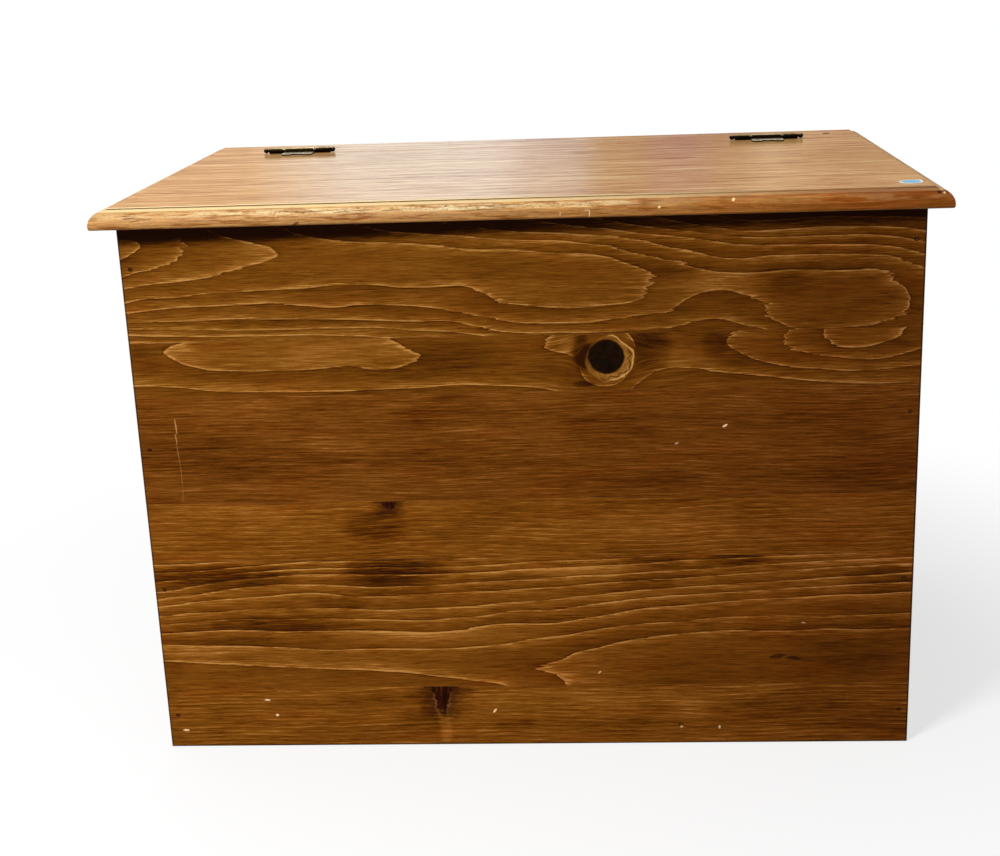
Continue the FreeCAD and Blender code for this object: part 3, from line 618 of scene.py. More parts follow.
def moulding_with_painted_light(s, colour):
    """The lid's moulding: fine dark streaks and open pores, and painted light at its front: paler toward the
    left, painted shade on the lower round, a painted shadow in the corner under the step, and painted
    highlights on the rubbed step, on the crown and as a mottled shine below that, most at the left."""
    x, y, z = s.point.values()
    forward = s.smooth(s.facing["y"], -0.2, -0.5)
    ahead = s.smooth(s.facing["y"], 0.1, -0.1)
    bright = s.smooth(x, -60.0, 330.0, 1.0, 0.2)
    streaks = s.noise(x / 26.0, y / 4.0, z / 2.0, detail=4.0, rough=0.7)
    pores = s.noise(x / 3.6, y / 1.8, z / 1.2, detail=3.0, rough=0.7)
    step = s.smooth(z, LID_TOP - 0.9, LID_TOP - 0.6) * forward
    corner = s.smooth(z, LID_TOP - 1.8, LID_TOP - 1.55) * forward
    crown = s.smooth(z, LID_TOP - 3.4, LID_TOP - 2.6) * ahead
    shine = s.smooth(z, LID_TOP - 9.5, LID_TOP - 7.5) * s.smooth(z, LID_TOP - 3.6, LID_TOP - 4.8)
    shine = shine * s.smooth(x, -380.0, -190.0, 0.3, 1.0) * s.smooth(x, 190.0, 20.0) * ahead
    # In order: painted light paler to the left, painted shade low on the round, dark streaks, a painted
    # mottled highlight, pores, a painted highlight on the crown, a painted shadow in the step's corner, a
    # painted highlight on the step.
    return s.coated(
        colour,
        (s.smooth(x, -100.0, 330.0, 0.38, 0.0) * ahead, 198, 174, 126),
        (s.smooth(z, LID_TOP - 8.0, LID_TOP - 13.0) * ahead * 0.3, 128, 78, 24),
        (s.smooth(streaks, 0.52, 0.36) * ahead * 0.85, 116, 60, 0),
        (shine * s.smooth(streaks, 0.42, 0.62, 0.1, 0.9), 216, 204, 160),
        (s.smooth(pores, 0.46, 0.36) * (shine * 0.6 + 0.25) * ahead, 92, 48, 8),
        (crown * bright * 0.8, 222, 200, 148),
        (corner * s.smooth(x, -20.0, 260.0, 0.95, 0.3), 78, 46, 14),
        (step * bright * 0.95, 234, 220, 176))


def pine(name, axes, seed, tint, outer=AMBER, top=None, under=None, bare_side=None, heart=(0, 40),
         wander=(30, 24), spacing=5.5, rows=None, knots=(), spikes=(), patches=(), flecks=(), stain_and_shade_fade=0.0,
         contrast=1.0, lines=0.62, shaded_edges=False, moulded=False, worn=0.5, relief=0.14, sheen=0.46,
         gloss=0.03):
    """Stained pine, in the palettes outer, top, under and, on its bare side, BARE. Its rings are drawn, where
    it has rows of them, or else grown round a heart. Knots are (along, across, radius). The fade is how much
    darker the colour gets from the middle to the high end: painted shade of the light falling off, on the
    front partly the stain's own. Contrast is how much the rings show, lines how pale their edges are, worn how
    pale the arrises are, relief the grain's depth in mm, sheen the roughness and gloss the specular level."""
    s = Wood(name, axes, seed)
    point, facing = s.point, s.facing
    upright = s.smooth(facing["z"].size(), 0.9, 0.5)
    streamed, free, shown = streamed_round(s, knots, 1.0 if rows is None else upright * 0.9 + 0.1)

    # The rings' edges are saw-toothed where they cross the fibres, and wave slowly elsewhere.
    rag = s.figure(64.0, 3.8, detail=4.0, rough=0.66)
    wave = s.figure(70.0, 14.0, detail=1.0)
    torn = s.noise(s.along / 60.0, s.across / 25.0, s.shift + 70.0, detail=1.0)
    along = s.along + (rag - 0.5) * free * s.smooth(torn, 0.42, 0.6, 7.0, 42.0)
    if rows is None:
        rings, slope = grown_rings(s, along, streamed + (wave - 0.5) * 3.0, s.through, heart, wander, spacing)
    else:
        rings, slope = drawn_rings(s, along, s.across + (wave - 0.5) * 1.6, rows)
    pale, line, dark = ring_lines(s, rings, slope)

    strength = s.figure(140.0, 30.0, 9.0, detail=1.0)
    own = s.noise(rings.whole() * 0.73, s.shift, s.along / 300.0, detail=0.0)
    fibres = s.figure(90.0, 4.0, across=streamed, detail=4.0, rough=0.7)
    grain = s.figure(24.0, 1.1, 17.0, across=streamed, detail=3.0, rough=0.7)
    dark_dash = s.smooth(s.figure(8.0, 0.7, across=streamed, detail=2.0), 0.38, 0.27)
    cloud = s.figure(130.0, 30.0, detail=2.0)
    streak = fibres * 0.42 + grain * 0.88 - 0.65
    tone = 0.43 + pale * (streak * 1.1 + strength * 0.46 + 0.08) * contrast * shown
    tone = tone + line * (strength * 0.7 + streak * 1.6 + 0.05) * lines * shown
    tone = tone - dark * contrast * (strength * 0.26 + 0.05) * shown
    tone = tone + streak * 1.05 + (cloud - 0.5) * 0.34 + (own - 0.5) * 0.16 * contrast - dark_dash * 0.14
    tone = patched(s, tone, fibres, rag, patches, upright).clamped()
    colour = s.ramp(tone, outer)
    rough = sheen + streak * 0.2 - line * 0.04

    hue = s.figure(90.0, 22.0, 40.0, detail=1.0)
    for start, end, wash in ((0.5, 0.75, RUSSET), (0.48, 0.25, OLIVE)):
        colour = s.washed(s.smooth(hue, start, end, 0.0, 0.35), colour, wash)
    # Painted shade: darker toward the board's high end, where the light falls off; on the front partly the
    # stain's own.
    if stain_and_shade_fade:
        far = s.smooth(s.along, s.middle[0] - 60.0, BODY_HALF_WIDTH)
        colour = s.washed(far, colour, (1.0 - stain_and_shade_fade, 1.0 - stain_and_shade_fade * 1.3, 1.0 - stain_and_shade_fade, 1.0))
    if moulded:
        colour = moulding_with_painted_light(s, colour)
    colour = s.mix(1.0, colour, (*tint, 1.0), "MULTIPLY")
    coat = {}
    if top:
        upward = s.smooth(facing["z"], 0.86, 0.97) * s.smooth(point["z"], LID_TOP - 1.2, LID_TOP - 0.6)
        colour, tone = bleached_top_and_riser_glint(s, colour, tone, streak, upward, top)
        film = (streak * 2.0 + (tone - 0.5) * 0.5 + VARNISH).clamped()
        film = film * s.smooth(facing["z"], 0.95, 0.99) * shown
        coat = dict(Coat_Weight=upward * film, Coat_Roughness=0.12, Coat_IOR=1.5)
    if under:
        colour = s.mix(s.smooth(facing["z"], -0.7, -0.9), colour, s.ramp(tone, under))
    if bare_side:
        direction, sign = bare_side
        inside = s.smooth(facing[direction] * sign, 0.7, 0.9)
        colour = s.mix(inside, colour, s.ramp(tone, BARE))
        rough = rough + inside * 0.25
    colour = round_knots(s, colour, fibres, knots)
    colour = spike_knots(s, colour, rag, spikes)
    colour = end_grain(s, colour, heart)
    colour = weathered(s, colour, worn, shaded_edges)
    colour = flecked(s, colour, fibres, flecks)
    height = fibres * 0.8 + line * 0.4 - dark_dash * 0.35
    return s.finish(colour, rough, height, deep=relief, strength=0.6, Specular_IOR_Level=gloss, **coat)


# ---------------------------------------------------------------- other materials
def bronze(name, seed, base=(8, 4, 2), plate=None):
    """Dark antique bronze: nearly black, olive brown in places, with brassy painted highlights on its upward
    faces and crowns, most on the centre knuckle, and beside the joints of its knuckles, which are dark. Plate
    is the colour painted on the leaves' upper faces: a painted reflection, paler toward their outer edges and
    darker near the barrel, which is painted shade with patina."""
    s = Shader(name)
    x, y, z = s.millimetres()
    nz = s.directions()[2]
    cloud = s.noise(x / 7.0, y / 5.0, z / 5.0 + seed, detail=4.0, rough=0.6)
    grit = s.noise(x / 0.7, y / 0.7, z / 0.7, detail=3.0, rough=0.6)
    blotches = s.smooth(s.noise(x / 9.0, y / 2.4, z / 2.4 + seed, detail=3.0), 0.35, 0.6)
    from_middle = (x.size() - HINGE_MIDDLE).size()
    centre_knuckle = s.smooth(from_middle, HALF_KNUCKLE + 0.5, HALF_KNUCKLE - 0.5)
    joint = (from_middle - HALF_KNUCKLE).size()
    above_plate = s.smooth(z, LEAF_TOP + 0.8, LEAF_TOP + 1.2)
    # Painted highlights: the upward faces olive and their crowns brassy, most on the centre knuckle, and pale
    # ticks beside the joints; the joints themselves dark.
    colour = s.coated(
        s.ramp(cloud, stops((0.3, *base), (0.6, 22, 15, 8), (0.85, 48, 38, 20))),
        (s.smooth(nz, 0.3, 0.75) * 0.5, 74, 60, 34),
        (s.smooth(nz, 0.55, 0.9) * (blotches * 0.4 + 0.25 + centre_knuckle * 0.35), 222, 198, 150),
        (s.smooth(joint, 1.5, 0.9) * s.smooth(nz, 0.1, 0.6) * above_plate * 0.8, 226, 206, 160),
        (s.smooth(joint, 0.8, 0.4) * above_plate * 0.9, 8, 5, 3))
    metal = 0.85
    if plate:
        # The leaves' upper faces painted pale as a reflection, and darker near the barrel as painted shade
        # with patina.
        flat = s.smooth(nz, 0.97, 0.995) * s.smooth(z, LEAF_TOP + 0.6, LEAF_TOP + 0.3) * (blotches * 0.3 + 0.7)
        flat = flat * s.smooth((y - HINGE_AXIS).size() + (blotches - 0.5) * 4.0, 9.0, 15.0, 0.15, 1.0)
        colour = s.coated(colour, (flat, *plate))
        metal = 0.85 - flat * 0.8
    return s.finish(colour, 0.27 + (grit - 0.5) * 0.2 + (cloud - 0.5) * 0.2, grit, deep=0.04, strength=0.5,
                    Metallic=metal, Specular_Tint=linear(150, 132, 104))


def steel(name, seed, base=(150, 148, 142), stain=(92, 58, 34)):
    """Zinced steel gone dull, with brown specks."""
    s = Shader(name)
    x, y, z = s.millimetres()
    cloud = s.noise(x / 1.6, y / 1.6, z / 1.6 + seed, detail=4.0, rough=0.65)
    between = [0.6 * b + 0.4 * d for b, d in zip(base, stain)]
    colour = s.ramp(cloud, stops((0.35, *base), (0.62, *between), (0.75, *stain)))
    return s.finish(colour, 0.34 + cloud * 0.3, cloud, deep=0.03, Metallic=0.9)


def plywood(name, bottom, thickness):
    """Birch-faced plywood: a pale face with broad rotary figure, and its five plies along the edge."""
    s = Shader(name)
    x, y, z = s.millimetres()
    wave = s.noise(x / 260.0, y / 50.0, 2.0, detail=2.0)
    arch = ((y + (wave - 0.5) * 150.0) / 21.0).fraction()
    fibres = s.noise(x / 40.0, y / 1.0, z / 1.0, detail=3.0, rough=0.6)
    cloud = s.noise(x / 160.0, y / 70.0, 5.0, detail=2.0)
    tone = s.curve(arch, [(0, 0.32), (0.1, 0.5), (0.6, 0.6), (1, 0.4)])
    tone = tone + (fibres - 0.5) * 0.45 + (cloud - 0.5) * 0.5
    face = s.ramp(tone.clamped(), stops((0.0, 164, 122, 74), (0.5, 206, 170, 122), (1.0, 226, 198, 156)))
    plies = [(0, 0), (0.19, 0), (0.2, 1), (0.4, 1), (0.41, 0), (0.6, 0), (0.61, 1), (0.8, 1), (0.81, 0),
             (1, 0)]
    edge = s.mix(s.curve((z - bottom) / thickness, plies), linear(196, 158, 108), linear(128, 84, 44))
    colour = s.mix(s.smooth(s.directions()[2].size(), 0.5, 0.8), edge, face)
    return s.finish(colour, 0.62 + (fibres - 0.5) * 0.2, fibres, deep=0.15, strength=0.5)


def sticker_paper(name, place, radius):
    """A blank pale blue dot with a white border, rubbed and a little dirty."""
    s = Shader(name)
    x, y, _ = s.millimetres()
    off_x, off_y = x - place[0], y - place[1]
    away = (off_x * off_x + off_y * off_y).calc("SQRT")
    dirt = s.noise(x / 3.0, y / 3.0, 1.0, detail=4.0, rough=0.6)
    blue = s.mix(s.smooth(dirt, 0.4, 0.75), linear(112, 186, 222), linear(158, 202, 220))
    colour = s.coated(blue, (s.smooth(away + (dirt - 0.5) * 0.5, radius - 2.2, radius - 1.8), 228, 232, 232),
                      (s.smooth(dirt, 0.62, 0.75) * 0.5, 170, 140, 104))
    return s.finish(colour, 0.5 + (dirt - 0.5) * 0.3, dirt, deep=0.03, strength=0.4)


# ---------------------------------------------------------------- boards
def dress(node, material):
    """Puts a material on a CAD node, in place of its own."""
    piece = NODES[node]
    piece.data.materials.clear()
    piece.data.materials.append(material)


def eased(piece, width):
    """Rounds a CAD node's edges by so many mm, as sanding does."""
    weld = piece.modifiers.new("weld", "WELD")
    weld.merge_threshold = 1e-6
    bevel = piece.modifiers.new("bevel", "BEVEL")
    bevel.width, bevel.segments, bevel.limit_method = width * MM, 2, "ANGLE"
    bevel.angle_limit = math.radians(32.0)
    bevel.harden_normals = True


def board_axes(node, directions):
    """The board's directions with its own middle in each, mm."""
    low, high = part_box(node)
    middle = (low + high) / 2 / MM
    return [(axis, middle["xyz".index(axis)]) for axis in directions]


PAINT, SCRATCH, HOLE, GOUGE = linear(248, 212, 160), linear(196, 138, 78), linear(20, 7, 1), linear(84, 42, 8)
# Knots are (x, z, radius). The functions spike_knots, flecked and patched say what the other rows hold.
FRONT_KNOTS = {"front_board_2": [(81.7, 414.3, 16.8)]}
FRONT_SPIKES = {"front_board_6": [(-93.6, 66.6, 39.0, 10.5, 4.5, 0.9)],
                "front_board_4": [(-136, 270.0, 260.5, 8.0, 2.5, 0.1)]}
FRONT_NAILS = [(-371, 36.6), (-371, 178), (-371, 328), (-371, 510.5),
               (371.5, 37), (371.5, 181.5), (371.5, 353.5), (371.5, 521)]
FRONT_FLECKS = [
    (-275.4, 53.4, 3.3, 1.0, -4, 0.9, PAINT), (-266.4, 36, 1.8, 1.5, 0, 0.9, PAINT),
    (-39.5, 39, 2.9, 1.1, 52, 1.0, PAINT), (69.2, 81.5, 2.3, 0.9, 45, 0.55, PAINT),
    (151.9, 19, 1.5, 1.1, 0, 0.6, PAINT), (190.6, 18.4, 2.2, 1.1, 90, 0.65, PAINT),
    (273.8, 134, 2.4, 0.8, -8, 0.35, PAINT), (195.2, 342.7, 2.9, 1.1, 32, 0.9, PAINT),
    (148.7, 325.7, 2.2, 0.9, 20, 0.4, PAINT), (-364, 19.4, 3.6, 1.2, -4, 0.9, PAINT),
    (-342.4, 352, 8.5, 0.75, 93, 0.75, SCRATCH), (-343.4, 340, 5.5, 0.55, 97, 0.7, SCRATCH),
    (-342.9, 325, 12, 0.5, 94, 0.35, SCRATCH), (-341.7, 301, 14, 0.45, 90, 0.28, SCRATCH),
    (-342.3, 280, 8.5, 0.45, 84, 0.28, SCRATCH), (249, 97.5, 9, 2.6, 6, 0.7, HOLE),
    (264, 95.5, 9, 2.4, -8, 0.7, HOLE), (256, 96.5, 4, 1.1, 15, 0.6, linear(110, 66, 22)),
    (151, 22.5, 3.5, 1.2, 0, 0.6, HOLE)]
LID_FLECKS = [
    (200.8, 565, 1.7, 1.3, 40, 0.95, PAINT), (133, 560.5, 1.6, 1.1, 30, 0.8, PAINT),
    (69, 556, 3.6, 0.55, 90, 0.6, PAINT), (66.5, 559.4, 2.6, 0.5, 2, 0.4, PAINT),
    (42, 556.5, 1.8, 0.55, 80, 0.5, PAINT), (387, 566.5, 2.0, 1.6, 0, 0.95, HOLE),
    (391.5, 566, 1.2, 0.9, 0, 0.8, PAINT), (-160.5, 563.5, 8, 0.45, 2, 0.6, GOUGE),
    (-146, 562, 5, 0.4, 3, 0.6, GOUGE), (-119, 563.5, 6, 0.45, 0, 0.6, GOUGE),
    (-132, 560.5, 5, 0.4, -3, 0.5, GOUGE), (-361, 562.7, 7, 0.5, 5, 0.85, GOUGE),
    (-356, 560.2, 6, 0.45, 8, 0.8, GOUGE), (-344, 561.4, 5, 0.4, 10, 0.7, GOUGE),
    (-204, 554, 3.5, 1.2, 25, 0.8, GOUGE), (-64, 566, 1.4, 0.7, 30, 0.7, GOUGE),
    (-256, 565, 1.8, 1.2, 0, 0.5, PAINT), (-222, 562, 2.8, 0.5, 60, 0.35, PAINT),
    (-187, 566, 2.4, 0.8, 0, 0.5, PAINT), (-300, 559, 12, 0.4, 1, 0.45, GOUGE),
    (-250, 557, 16, 0.4, 0, 0.4, GOUGE), (-20, 560, 14, 0.4, -1, 0.4, GOUGE),
    (110, 563, 12, 0.4, 0, 0.4, GOUGE), (240, 559, 16, 0.4, 0, 0.4, GOUGE),
    (330, 562, 12, 0.5, 3, 0.45, GOUGE)]
# The stain's colour on each board from the top, against AMBER.
FRONT_TINTS = [(0.96, 0.97, 0.96), (1.0, 1.0, 0.96), (0.92, 0.84, 0.9), (1.14, 1.1, 1.05), (1.12, 1.09, 1.05),
               (1.18, 1.15, 1.1)]
PATCHES = {
    "front_board_1": [
        # The first two patches are painted shade: the lid's shadow along the top of the board, under its
        # overhang.
        (0, 553, 2000, 14, -0.4), (-260, 552, 260, 17, -0.35), (-60, 484, 95, 10, 0.08),
        (178, 486, 50, 9, 0.12), (150, 494, 20, 9, -0.12), (250, 484, 24, 14, -0.10),
        (-160, 515, 90, 12, 0.05), (190, 462, 30, 12, -0.05)],
    "front_board_2": [
        (-225, 424, 110, 12, 0.14), (125, 421, 19, 18, -0.24), (58, 420, 8, 17, -0.26),
        (186, 424, 12, 12, -0.14), (150, 412, 34, 12, 0.12), (-370, 420, 18, 16, -0.10),
        (60, 388, 10, 3, -0.22), (-60, 415, 40, 18, -0.05), (45, 428, 9, 6, 0.12)],
    "front_board_3": [
        (-80, 360, 60, 12, -0.05), (90, 345, 50, 14, -0.06), (110, 290, 60, 10, -0.06),
        (330, 300, 60, 34, -0.05), (-330, 330, 60, 40, -0.05), (-300, 365, 80, 10, 0.08),
        (-240, 310, 60, 16, -0.06)],
    "front_board_4": [
        (-152, 243, 30, 15, -0.20), (-300, 262, 70, 6, 0.08), (90, 236, 120, 14, 0.07),
        (-136, 258, 16, 6, -0.14)],
    "front_board_5": [
        (-315, 192, 70, 13, -0.24), (-135, 197, 48, 14, -0.28), (-140, 180, 40, 12, -0.12),
        (-190, 161, 30, 8, -0.14), (210, 203, 34, 6, -0.22), (128, 203, 30, 6, -0.20),
        (352, 180, 34, 14, -0.20), (115, 178, 30, 10, -0.10), (-250, 140, 70, 8, -0.12),
        (-230, 126, 60, 10, -0.06), (-340, 110, 60, 6, 0.14), (-110, 122, 130, 8, 0.10),
        (40, 194, 60, 5, 0.16), (-330, 92, 30, 5, 0.12), (330, 120, 70, 40, -0.06)],
    "front_board_6": [
        (30, 45, 130, 16, 0.08), (-20, 23, 22, 7, -0.14), (130, 42, 22, 8, -0.10),
        (300, 30, 110, 26, -0.07), (-116, 56, 16, 8, -0.14), (-108, 42, 9, 9, -0.14),
        (-74, 60, 14, 5, -0.14), (-72, 42, 12, 9, -0.08), (-91, 20, 6, 20, 0.15),
        (-120, 24, 26, 16, -0.10)],
}
# The front boards whose rings aren't drawn.
PLAIN_FRONTS = {
    "front_board_3": dict(heart=(-80, 30), spacing=3.1, wander=(26, 10), contrast=0.35, lines=0.15),
    "front_board_4": dict(heart=(70, 24), spacing=4.6, wander=(24, 10), contrast=0.4, lines=0.25),
    "front_board_6": dict(heart=(-120, 40), spacing=4.2, wander=(30, 10), contrast=0.4, lines=0.25),
}

# The panels that the photograph doesn't show: their directions along and across the grain and through the
# panel, and the side that stays bare.
HIDDEN_PANELS = [("left_side", "yzx", ("x", 1.0)), ("right_side", "yzx", ("x", -1.0)),
                 ("back", "xzy", ("y", -1.0))]
HIDDEN_KNOTS = {
    "left_side_board_1": [(-88, 494, 6.5)], "left_side_board_3": [(92, 268, 13.0)],
    "right_side_board_2": [(-60, 386, 15.0)], "right_side_board_5": [(120, 44, 9.0)],
    "back_board_2": [(-214, 371, 17.0)], "back_board_4": [(141, 160, 12.0)], "back_board_5": [(-40, 38, 8.0)],
    "rear_rail": [(352, 205, 4.0)]}
# Of all boards but the front's: the share sawn flat, the share with tight faint rings, and the ranges of (ring
# spacing, contrast, lines) for either kind.
FLAT_SAWN, TIGHT_RINGED = 0.65, 0.45
TIGHT_RINGS, BROAD_RINGS = ((3.4, 5.0), (0.3, 0.5), (0.1, 0.22)), ((8.5, 13.0), (0.7, 0.95), (0.3, 0.5))


def nail_marks(low, high):
    """The dark ring that each nail has left in a board between two heights."""
    return [(x, z, 2.5, 2.2, 0, 0.8, HOLE) for x, z in FRONT_NAILS if low < z < high]


def front_materials():
    """The front panel: three boards with their drawn figure, three plainer ones."""
    for number, tint in enumerate(FRONT_TINTS, 1):
        node = f"front_board_{number}"
        low, high = (corner.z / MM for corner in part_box(node))
        settings = dict(PLAIN_FRONTS.get(node, {}))
        if node in FRONT_RINGS:
            settings["rows"] = ring_rows(FRONT_RINGS[node], -BODY_HALF_WIDTH, BODY_HALF_WIDTH, low, high)
        flecks = nail_marks(low, high) + [fleck for fleck in FRONT_FLECKS if low < fleck[1] < high]
        # The front darkens toward the right, partly its stain and partly painted shade of the light falling
        # off.
        yield node, pine(f"pine_{node}", board_axes(node, "xzy"), number, tint, bare_side=("y", 1.0),
                         stain_and_shade_fade=0.22, shaded_edges=True, worn=0.2, knots=FRONT_KNOTS.get(node, ()),
                         spikes=FRONT_SPIKES.get(node, ()), patches=PATCHES[node], flecks=flecks, **settings)


def random_growth(draw, width):
    """A board's random place in its trunk: most are cut near the bark, some through the side of the trunk."""
    flat = draw.random() < FLAT_SAWN
    side = draw.choice((-1, 1))
    shade, warmth = draw.uniform(0.86, 1.12), draw.uniform(0.94, 1.05)
    spacing, contrast, lines = TIGHT_RINGS if draw.random() < TIGHT_RINGED else BROAD_RINGS
    return dict(heart=(draw.uniform(-0.3, 0.3) * width if flat else side * draw.uniform(50, 90),
                       draw.uniform(16, 34)),
                wander=(draw.uniform(30, 60), draw.uniform(16, 26)), spacing=draw.uniform(*spacing),
                contrast=draw.uniform(*contrast), lines=draw.uniform(*lines),
                tint=(shade, shade * warmth, shade * warmth))


def panel_materials(names, directions, draw, **extra):
    """One material a board, each cut from another part of a tree. Extra settings replace random ones."""
    for node in names:
        low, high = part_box(node)
        width = (high - low)["xyz".index(directions[1])] / MM
        settings = {**random_growth(draw, width), **extra}
        yield node, pine(f"pine_{node}", board_axes(node, directions), draw.randint(10, 900),
                         knots=HIDDEN_KNOTS.get(node, ()), **settings)


def all_boards():
    """Every wooden node with its material."""
    draw = random.Random(1903)
    yield from front_materials()
    for panel, directions, bare_side in HIDDEN_PANELS:
        boards = [f"{panel}_board_{number}" for number in range(1, 6)]
        yield from panel_materials(boards, directions, draw, bare_side=bare_side)
    # The lid's edges darken toward the right: painted shade of the light falling off.
    lid = dict(outer=HONEY, top=FADED, under=AMBER, heart=(15, -150), wander=(60, 4), spacing=3.4,
               relief=0.03, sheen=0.5, gloss=0.1, worn=0.3, contrast=0.5, stain_and_shade_fade=0.5)
    yield from panel_materials(["lid_board_1"], "xyz", draw, flecks=LID_FLECKS, moulded=True, **lid)
    yield from panel_materials([f"lid_board_{n}" for n in range(2, 5)] + ["rear_rail"], "xyz", draw, **lid)
    yield from panel_materials(["left_lid_batten", "right_lid_batten"], "yxz", draw)
    yield from panel_materials(["front_cleat", "back_cleat"], "xzy", draw, outer=BARE)
    yield from panel_materials(["left_cleat", "right_cleat"], "yzx", draw, outer=BARE)


for node, material in all_boards():
    dress(node, material)
    eased(NODES[node], 0.35)
dress("bottom_panel", plywood("birch_plywood", 25.0, 12.0))
# The plate colours are painted reflections on the hinge leaves' upper faces.
for number, side in enumerate(("left", "right")):
    dress(f"{side}_hinge_lid_leaf",
          bronze(f"bronze_{side}_lid_leaf", number * 3.1, plate=(240, 228, 206)))
    dress(f"{side}_hinge_rail_leaf",
          bronze(f"bronze_{side}_rail_leaf", number * 4.3 + 9.0, plate=(226, 212, 188)))
for number, node in enumerate(("front_nails", "back_nails", "rail_nails")):
    dress(node, steel(f"steel_{node}", number * 7.7, base=(74, 46, 28), stain=(34, 16, 8)))


# ---------------------------------------------------------------- turned hardware and the sticker
def mesh_piece(name, mesh, material):
    """A new object at the frame's origin."""
    mesh.materials.clear()
    mesh.materials.append(material)
    piece = bpy.data.objects.new(name, mesh)
    bpy.context.scene.collection.objects.link(piece)
    return piece


def written(name, mesh):
    """A mesh from a bmesh, which is freed."""
    made = bpy.data.meshes.new(name)
    mesh.to_mesh(made)
    mesh.free()
    return made


def moved(*place):
    """A move by x, y and z in mm."""
    return Matrix.Translation(Vector(place) * MM)


def turned(name, profile, sides=28):
    """A closed mesh turned round the z axis, from (height, radius) points that start and end on the axis."""
    mesh = bmesh.new()
    rings = []
    for height, radius in profile:
        angles = [2 * math.pi * n / sides for n in range(sides)] if radius else [0.0]
        rings.append([mesh.verts.new((radius * MM * math.cos(t), radius * MM * math.sin(t), height * MM))
                      for t in angles])
    for lower, upper in zip(rings, rings[1:]):
        for n in range(sides):
            m = (n + 1) % sides
            corners = [ring[k % len(ring)] for ring, k in ((lower, n), (lower, m), (upper, m), (upper, n))]
            mesh.faces.new(list(dict.fromkeys(corners)))
    bmesh.ops.recalc_face_normals(mesh, faces=mesh.faces)
    return written(name, mesh)


def box_mesh(name, size, centre):
    """A box of a size in mm, about its centre."""
    mesh = bmesh.new()
    stretch = Matrix.Diagonal((*(Vector(size) * MM), 1.0))
    bmesh.ops.create_cube(mesh, size=1.0, matrix=moved(*centre) @ stretch)
    return written(name, mesh)


def cut(mesh, cutters):
    """The mesh with each cutter's space taken out of it."""
    body = bpy.data.objects.new("cut_body", mesh)
    tools = [bpy.data.objects.new("cutter", cutter) for cutter in cutters]
    for each in (body, *tools):
        bpy.context.scene.collection.objects.link(each)
    for tool in tools:
        modifier = body.modifiers.new("cut", "BOOLEAN")
        modifier.object, modifier.operation, modifier.solver = tool, "DIFFERENCE", "EXACT"
    done = bpy.data.meshes.new_from_object(body.evaluated_get(bpy.context.evaluated_depsgraph_get()))
    for each in (body, *tools):
        bpy.data.objects.remove(each)
    return done


def joined(name, placed, sharp=40.0):
    """One mesh of several, each with its own placing matrix, shaded smooth between sharp edges."""
    mesh = bmesh.new()
    for part, matrix in placed:
        copy = part.copy()
        copy.transform(matrix)
        mesh.from_mesh(copy)
        bpy.data.meshes.remove(copy)
    made = written(name, mesh)
    made.polygons.foreach_set("use_smooth", [True] * len(made.polygons))
    made.set_sharp_from_angle(angle=math.radians(sharp))
    return made


def screws(node, body, places, flip, turns, head, recess, material):
    """Screws that stand for a CAD node of screws, each turned by its own angle about its axis."""
    screw_mesh = cut(turned(f"{node}_blank", head), recess)
    placed = [(screw_mesh, moved(*place) @ Matrix.Rotation(turns.uniform(0, 3), 4, "Z") @ flip)
              for place in places]
    piece = mesh_piece(f"{node}_detailed", joined(node, placed), material)
    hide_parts(node)
    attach(piece, body)


# Screws as (height, radius) profiles, head up, with the head's rim at height 0.
OVAL_HEAD = [(-14.4, 0), (-12.6, 0.7), (-11.8, 1.15), (-2.6, 1.2), (-2.2, 1.3), (-0.15, 3.2), (0.0, 3.2),
             (0.16, 2.7), (0.34, 1.8), (0.44, 0.9), (0.46, 0)]
FLAT_HEAD = [(-27.5, 0), (-25.0, 0.8), (-24.0, 1.5), (-4.0, 1.6), (-3.0, 1.7), (-0.2, 3.7), (0.0, 3.7),
             (0.02, 3.2), (0.03, 0)]
LEAF_SCREW_TOP, BATTEN_SCREW_TOP = 572.45, 536.05
HEAD_UP, HEAD_DOWN = Matrix.Identity(4), Matrix.Rotation(math.pi, 4, "X")
slot_cutter = [box_mesh("slot", (8.0, 0.75, 1.9), (0, 0, 0.45))]
cross_cutter = [box_mesh("cross_a", (3.6, 0.8, 3.4), (0, 0, 0)),
                box_mesh("cross_b", (0.8, 3.6, 3.4), (0, 0, 0))]
turns = random.Random(11)
screws("lid_leaf_screws", "lid",
       [(x, 145.8, LEAF_SCREW_TOP) for x in (-288.35, -264.65, 264.65, 288.35)],
       HEAD_UP, turns, OVAL_HEAD, slot_cutter, bronze("bronze_lid_leaf_screws", 20.0, base=(40, 32, 22)))
screws("rail_leaf_screws", "carcass",
       [(x, 192.2, LEAF_SCREW_TOP) for x in (-306.4, -246.6, 246.6, 306.4)],
       HEAD_UP, turns, OVAL_HEAD, slot_cutter, bronze("bronze_rail_leaf_screws", 25.3, base=(40, 32, 22)))
screws("batten_screws", "lid",
       [(x, y, BATTEN_SCREW_TOP) for x in (-205, 205) for y in (-131.5, 68.5)],
       HEAD_DOWN, turns, FLAT_HEAD, cross_cutter, steel("steel_batten_screws", 23.1))

